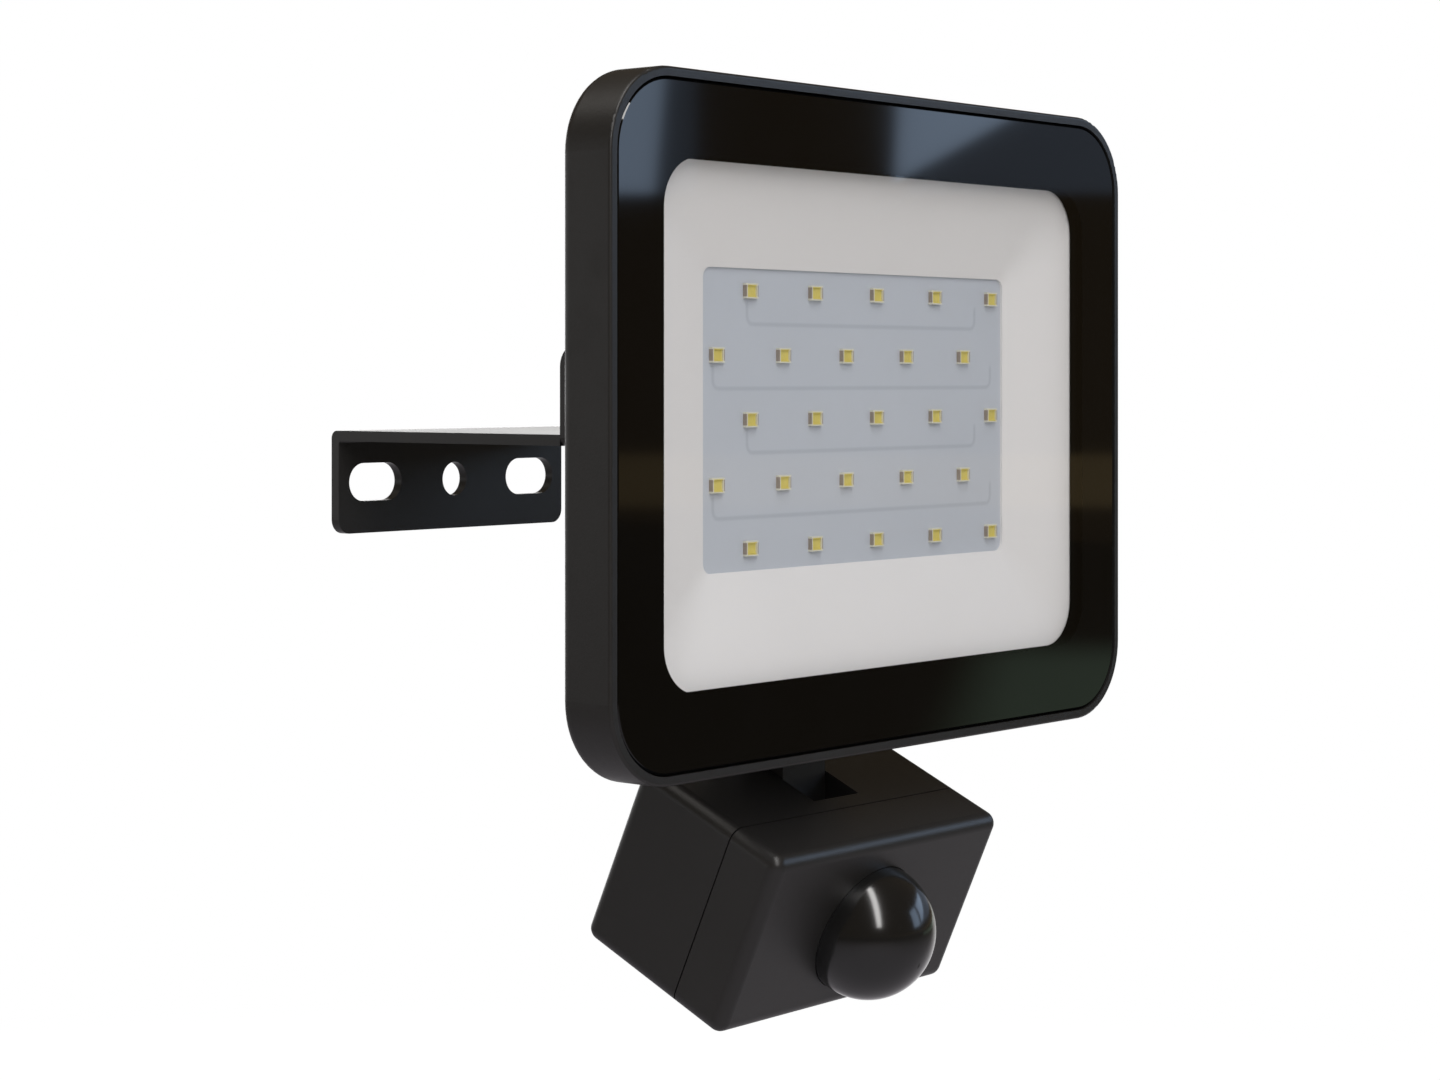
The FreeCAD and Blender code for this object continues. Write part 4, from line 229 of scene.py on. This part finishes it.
# Lamps. A long narrow soft box that reaches from above the object to above the camera, which
# the dome shows as an upright streak, one overhead that draws light edges on the casting and
# on the sensor head, and a low one behind the lamp's right side that shows the back's forms.
def soft_box(name, place, target, width, height, watts, tint=(1.0, 1.0, 1.0)):
    light = bpy.data.lights.new(name, "AREA")
    light.shape = "RECTANGLE"
    light.size = width
    light.size_y = height
    light.energy = watts
    light.color = tint
    box = bpy.data.objects.new(name, light)
    box.location = place
    direction = Vector(target) - Vector(place)
    box.rotation_euler = direction.to_track_quat("-Z", "Y").to_euler()
    box.visible_camera = False
    bpy.context.scene.collection.objects.link(box)


soft_box("strip_light", (-0.56, -1.0, 1.12), (0, -0.11, -0.08), 0.25, 2.2, 19, (1.0, 0.985, 0.975))
soft_box("top_light", (-0.45, 0.35, 1.15), (0, -0.08, 0), 0.9, 0.9, 3.2, (1.0, 0.97, 0.93))
soft_box("back_light", (1.05, 1.15, 0.12), (0, -0.05, 0), 1.1, 0.8, 6)


# Wall bracket. Mild steel sheet, bent down to the wall and up into two ears, with a satin black
# powder coat that has a very fine orange peel.
coat_finish, place = new_finish("satin_black_powder_coat")
peel = place.noise(2600, 2, 0.6)
cloud = place.noise(35, 3)
surface(place, Base_Color=cloud.blend((0.0150, 0.0143, 0.0138, 1.0), (0.0220, 0.0212, 0.0206, 1.0)),
        Roughness=0.27 + peel * 0.10 + cloud * 0.06, Specular_IOR_Level=0.5,
        Normal=place.bump(peel, 0.25, 0.00006))
paint(["wall_bracket"], coat_finish)


# Lamp housing and its back cover. Die-cast aluminium, shot-blasted and coated in the same black,
# with a slightly coarser skin on the cast surfaces.
cast_finish, place = new_finish("black_coated_casting")
peel = place.noise(1700, 3, 0.6)
cloud = place.noise(22, 3)
dust = place.noise(160, 2).step(0.5, 0.8)
surface(place, Base_Color=cloud.blend((0.0120, 0.0110, 0.0100, 1.0), (0.0175, 0.0163, 0.0152, 1.0)),
        Roughness=0.34 + peel * 0.10 + dust * 0.05,
        Normal=place.bump(peel, 0.28, 0.00008))
paint(["lamp_housing", "driver_cover"], cast_finish)


# Front glass. Tempered pane with a black band printed on its back, so that the band is as
# glossy as the glass. The clear window has the rounded shape of the reflector's mouth.
window_half = (0.0660, 0.0470)
window_round = 0.0090
lamp_middle = (0.0, 0.0136)


def past_edge(beside, above, corner):
    """Distance outside a rounded rectangle, from the distances past its corner centres."""
    beyond = beside.node("ShaderNodeCombineXYZ", None, {"X": beside.most(0.0), "Y": above.most(0.0)})
    return beyond.length() + beside.most(above).least(0.0) - corner


glass_finish, place = new_finish("printed_glass")
beside = abs(place.axis("X") - lamp_middle[0]) - (window_half[0] - window_round)
above = abs(place.axis("Z") - lamp_middle[1]) - (window_half[1] - window_round)
band = past_edge(beside, above, window_round).step(-0.00008, 0.00008)
ink = place.noise(60, 2).blend(grey(0.0010), grey(0.0022, 1.1))
printed = place.node("ShaderNodeBsdfPrincipled", None,
                     {"Base Color": ink, "Roughness": 0.03 + place.noise(25) * 0.02, "IOR": 1.52})
gloss = place.node("ShaderNodeBsdfPrincipled", None,
                   {"Base Color": grey(1.0), "Metallic": 1.0, "Roughness": 0.02 + place.noise(30) * 0.01})
clear = place.node("ShaderNodeBsdfTransparent", None, {"Color": (0.990, 0.992, 0.991, 1.0)})
front_side = 1 - place.node("ShaderNodeNewGeometry", None, None, "Backfacing")
mirror_share = place.node("ShaderNodeFresnel", None, {"IOR": 1.52}) * front_side
window = place.node("ShaderNodeMixShader", None, {0: mirror_share, 1: clear, 2: gloss})
pane = place.node("ShaderNodeMixShader", None, {0: band, 1: window, 2: printed})
place.node("ShaderNodeOutputMaterial", None, {"Surface": pane})
paint(["front_glass"], glass_finish)


# Seals and friction washers. Black silicone, dull, with a fine mould texture.
rubber_finish, place = new_finish("black_silicone")
grain = place.noise(3000, 2)
surface(place, Base_Color=place.noise(90).blend(grey(0.020), grey(0.034)),
        Roughness=0.70 + grain * 0.15, Normal=place.bump(grain, 0.2, 0.00005))
paint(["glass_seal", "cover_seal", "gland_sleeve", "friction_washers", "neck_seal", "shell_seal"],
      rubber_finish)


# Reflector frame. Injection-moulded in white polycarbonate with a fine satin skin.
white_finish, place = new_finish("white_moulding")
grain = place.noise(2200, 2)
cloud = place.noise(18, 2)
surface(place, Base_Color=cloud.blend((0.805, 0.785, 0.780, 1.0), (0.850, 0.832, 0.828, 1.0)),
        Roughness=0.42 + grain * 0.12, Normal=place.bump(grain, 0.12, 0.00004))
paint(["reflector"], white_finish)


# LED board. Aluminium core under white solder mask. The gap between one row's copper and the
# next runs below each row and turns up at its ends, and shows through the mask as a faint line.
board_middle = (0.0, 0.0143)
row_pitch = 0.0118
board_finish, place = new_finish("white_solder_mask")
across = place.axis("X") - board_middle[0]
up = place.axis("Z") - board_middle[1]
rows_up = up / row_pitch
row = place.node("ShaderNodeMath", {"operation": "CEIL"}, {0: rows_up})
odd = row % 2.0
gap_round = 0.0016
beyond = abs(across - (0.0019 - odd * 0.0021)) - (0.0345 + odd * 0.0076)
under = (row - rows_up) * row_pitch - 0.0045
line = 1 - abs(past_edge(beyond, under, gap_round)).step(0.00010, 0.00065)
copper = line * under.step(-0.0034, -0.0020) * (row > -1.5)
mask_tone = place.noise(30, 2).blend((0.525, 0.555, 0.610, 1.0), (0.560, 0.590, 0.645, 1.0))
colour = (copper * 0.65).blend(mask_tone, (0.425, 0.455, 0.510, 1.0))
grain = place.noise(2500, 2)
surface(place, Base_Color=colour, Roughness=0.38 + grain * 0.1,
        Normal=place.bump(copper * 0.6 + grain * 0.2, 0.2, 0.00005))
paint(["led_board"], board_finish)


# LED packages. A cream moulded frame with a dish of yellow phosphor, between two soldered
# terminals that look brown at the package's short sides.
chip_pitch = 0.0192
chip_finish, place = new_finish("led_package")
up = (place.axis("Z") - board_middle[1]) / row_pitch
row = place.node("ShaderNodeMath", {"operation": "ROUND"}, {0: up})
shift = (row % 2.0) * -2.0 + 1.0
across = place.axis("X") / chip_pitch - shift * 0.25
column = place.node("ShaderNodeMath", {"operation": "ROUND"}, {0: across})
chip_x = (across - column) * chip_pitch
chip_z = (up - row) * row_pitch
dish = (1 - abs(chip_x).step(0.00118, 0.00134)) * (1 - abs(chip_z).step(0.00108, 0.00122))
mark = (abs(chip_x) > 0.00152) * (abs(chip_z) < 0.00105)
phosphor = place.noise(900, 2).blend((0.66, 0.55, 0.115, 1.0), (0.74, 0.63, 0.18, 1.0))
frame_tone = mark.blend((0.70, 0.68, 0.58, 1.0), (0.32, 0.27, 0.22, 1.0))
surface(place, Base_Color=dish.blend(frame_tone, phosphor), Roughness=0.30 + dish * 0.15)
paint(["led_chips"], chip_finish)

# Heat pad. Soft grey silicone filled with ceramic, which shows as fine pale specks
# in a dull skin.
pad_finish, place = new_finish("heat_pad")
speck = place.noise(1800, 4, 0.7)
surface(place, Base_Color=speck.blend(grey(0.24, 1.05), grey(0.36, 1.05)), Roughness=0.75 + speck * 0.1,
        Normal=place.bump(speck, 0.2, 0.0001))
paint(["thermal_pad"], pad_finish)


# Screws, bolts, washers and pins. Zinc-plated steel, turned, so that fine rings and small
# differences in the plating show.
steel_finish, place = new_finish("zinc_plated_steel")
streak = place.noise(700, 4, 0.7)
cloud = place.noise(110, 2)
surface(place, Base_Color=cloud.blend((0.50, 0.51, 0.53, 1.0), (0.64, 0.64, 0.63, 1.0)), Metallic=1.0,
        Roughness=0.24 + streak * 0.16, Normal=place.bump(streak, 0.08, 0.00005))
paint(["led_board_screws", "driver_board_screws", "terminal_screws", "shell_screws", "tilt_pin",
       "tilt_pin_nut", "cover_screws", "infrared_detector"], steel_finish)

# Pivot bolts and washers. The same steel with a black oxide finish, worn a little to bare
# metal in small patches.
oxide_finish, place = new_finish("black_oxide_steel")
streak = place.noise(900, 4, 0.7)
wear = place.noise(320, 3).step(0.58, 0.75)
surface(place, Base_Color=wear.blend((0.035, 0.035, 0.038, 1.0), (0.16, 0.155, 0.15, 1.0)), Metallic=0.85,
        Roughness=0.34 + streak * 0.15, Normal=place.bump(streak, 0.1, 0.00005))
paint(["pivot_bolts", "pivot_washers"], oxide_finish)

# Earth screw. Turned brass, with small differences of tone and of polish from one place
# to the next.
brass_finish, place = new_finish("turned_brass")
streak = place.noise(800, 3)
surface(place, Base_Color=streak.blend((0.55, 0.38, 0.13, 1.0), (0.68, 0.50, 0.20, 1.0)), Metallic=1.0,
        Roughness=0.25 + streak * 0.15)
paint(["earth_screw"], brass_finish)

# Circuit boards. Glass-fibre board with green solder mask over copper tracks, which run
# slantwise and stand up a little, and a trace of the fibre's weave.
circuit_finish, place = new_finish("green_circuit_board")
weave = place.node("ShaderNodeMath", {"operation": "SINE"}, {0: place.axis("X") * 900.0})
track = abs((place.axis("X") + place.axis("Z") * 0.5) * 240.0 % 1.0 - 0.5).step(0.30, 0.34)
cloud = place.noise(300, 2)
track = track * cloud.step(0.45, 0.5)
surface(place, Base_Color=track.blend((0.012, 0.090, 0.035, 1.0), (0.030, 0.170, 0.065, 1.0)),
        Roughness=0.28 + cloud * 0.1, Normal=place.bump(track + weave * 0.05, 0.15, 0.00005))
paint(["driver_board", "sensor_board", "trimmer_board"], circuit_finish)

# Capacitors. Aluminium cans in dark blue shrunk sleeves, with a narrow pale stripe that
# comes again across them.
can_finish, place = new_finish("capacitor_can")
stripe = (place.axis("X") * 120.0 % 1.0) > 0.86
grain = place.noise(1500, 2)
surface(place, Base_Color=stripe.blend((0.010, 0.018, 0.065, 1.0), (0.45, 0.47, 0.50, 1.0)),
        Roughness=0.30 + grain * 0.12)
paint(["driver_capacitors", "sensor_capacitor"], can_finish)

# Transformer. Dark ferrite core round a bobbin wrapped in yellow tape. The core is the
# narrow band at mid-height.
core_low, core_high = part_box("driver_transformer")
core_middle = (core_low.z + core_high.z) / 2
tape_finish, place = new_finish("ferrite_and_tape")
core = 1 - abs(place.axis("Z") - core_middle).step(0.00220, 0.00230)
grain = place.noise(1200, 3)
yellow = grain.blend((0.62, 0.42, 0.045, 1.0), (0.72, 0.52, 0.08, 1.0))
surface(place, Base_Color=core.blend(yellow, grey(0.035)), Roughness=0.35 + grain * 0.2)
paint(["driver_transformer"], tape_finish)

# Chip and relay. Black moulded epoxy with a faint flow pattern, which varies both its
# tone and its gloss.
epoxy_finish, place = new_finish("black_epoxy")
grain = place.noise(1400, 3)
surface(place, Base_Color=grain.blend(grey(0.018), grey(0.032)), Roughness=0.34 + grain * 0.15,
        Normal=place.bump(grain, 0.12, 0.00004))
paint(["driver_chip", "sensor_relay"], epoxy_finish)

# Terminal block. Green moulded polyamide, slightly uneven in tone and in gloss as
# such mouldings are.
terminal_finish, place = new_finish("green_polyamide")
grain = place.noise(1100, 3)
surface(place, Base_Color=grain.blend((0.020, 0.150, 0.050, 1.0), (0.035, 0.200, 0.070, 1.0)),
        Roughness=0.32 + grain * 0.12)
paint(["terminal_block"], terminal_finish)

# Potentiometers. Blue moulded cases, slightly uneven in tone and in gloss in the
# same way.
blue_finish, place = new_finish("blue_moulding")
grain = place.noise(1100, 3)
surface(place, Base_Color=grain.blend((0.020, 0.075, 0.290, 1.0), (0.030, 0.105, 0.370, 1.0)),
        Roughness=0.32 + grain * 0.12)
paint(["trimmers"], blue_finish)


# Sensor head, neck and cable gland. Injection-moulded in black ABS with a fine spark-eroded
# texture, and a gloss that varies a little from place to place.
plastic_finish, place = new_finish("textured_black_plastic")
grain = place.noise(2400, 3, 0.65)
cloud = place.noise(28, 3)
surface(place, Base_Color=cloud.blend((0.0135, 0.0126, 0.0122, 1.0), (0.0190, 0.0179, 0.0174, 1.0)),
        Roughness=0.31 + grain * 0.09 + cloud * 0.05, Normal=place.bump(grain, 0.18, 0.00006))
paint(["sensor_front_shell", "sensor_rear_shell", "sensor_neck", "gland_body", "gland_nut",
       "gland_locknut"], plastic_finish)


# Lens dome. Deep black polyethylene that lets infrared through, polished so that it
# mirrors the room softly.
dome_finish, place = new_finish("polished_black_lens")
cloud = place.noise(60, 2)
surface(place, Base_Color=cloud.blend(grey(0.0065), grey(0.0105)), Roughness=0.16 + cloud * 0.05,
        Coat_Weight=0.30 + cloud * 0.15, Coat_Roughness=0.09)
paint(["lens_dome"], dome_finish)


# Setting knobs. Dark grey moulded caps with a screwdriver slot, a shade paler than the
# head, with a fine matt grain.
knob_finish, place = new_finish("dark_grey_knob")
grain = place.noise(2000, 3)
surface(place, Base_Color=grain.blend(grey(0.050), grey(0.075)), Roughness=0.42 + grain * 0.14,
        Normal=place.bump(grain, 0.15, 0.00005))
paint(["sensitivity_knob", "time_knob", "light_level_knob"], knob_finish)
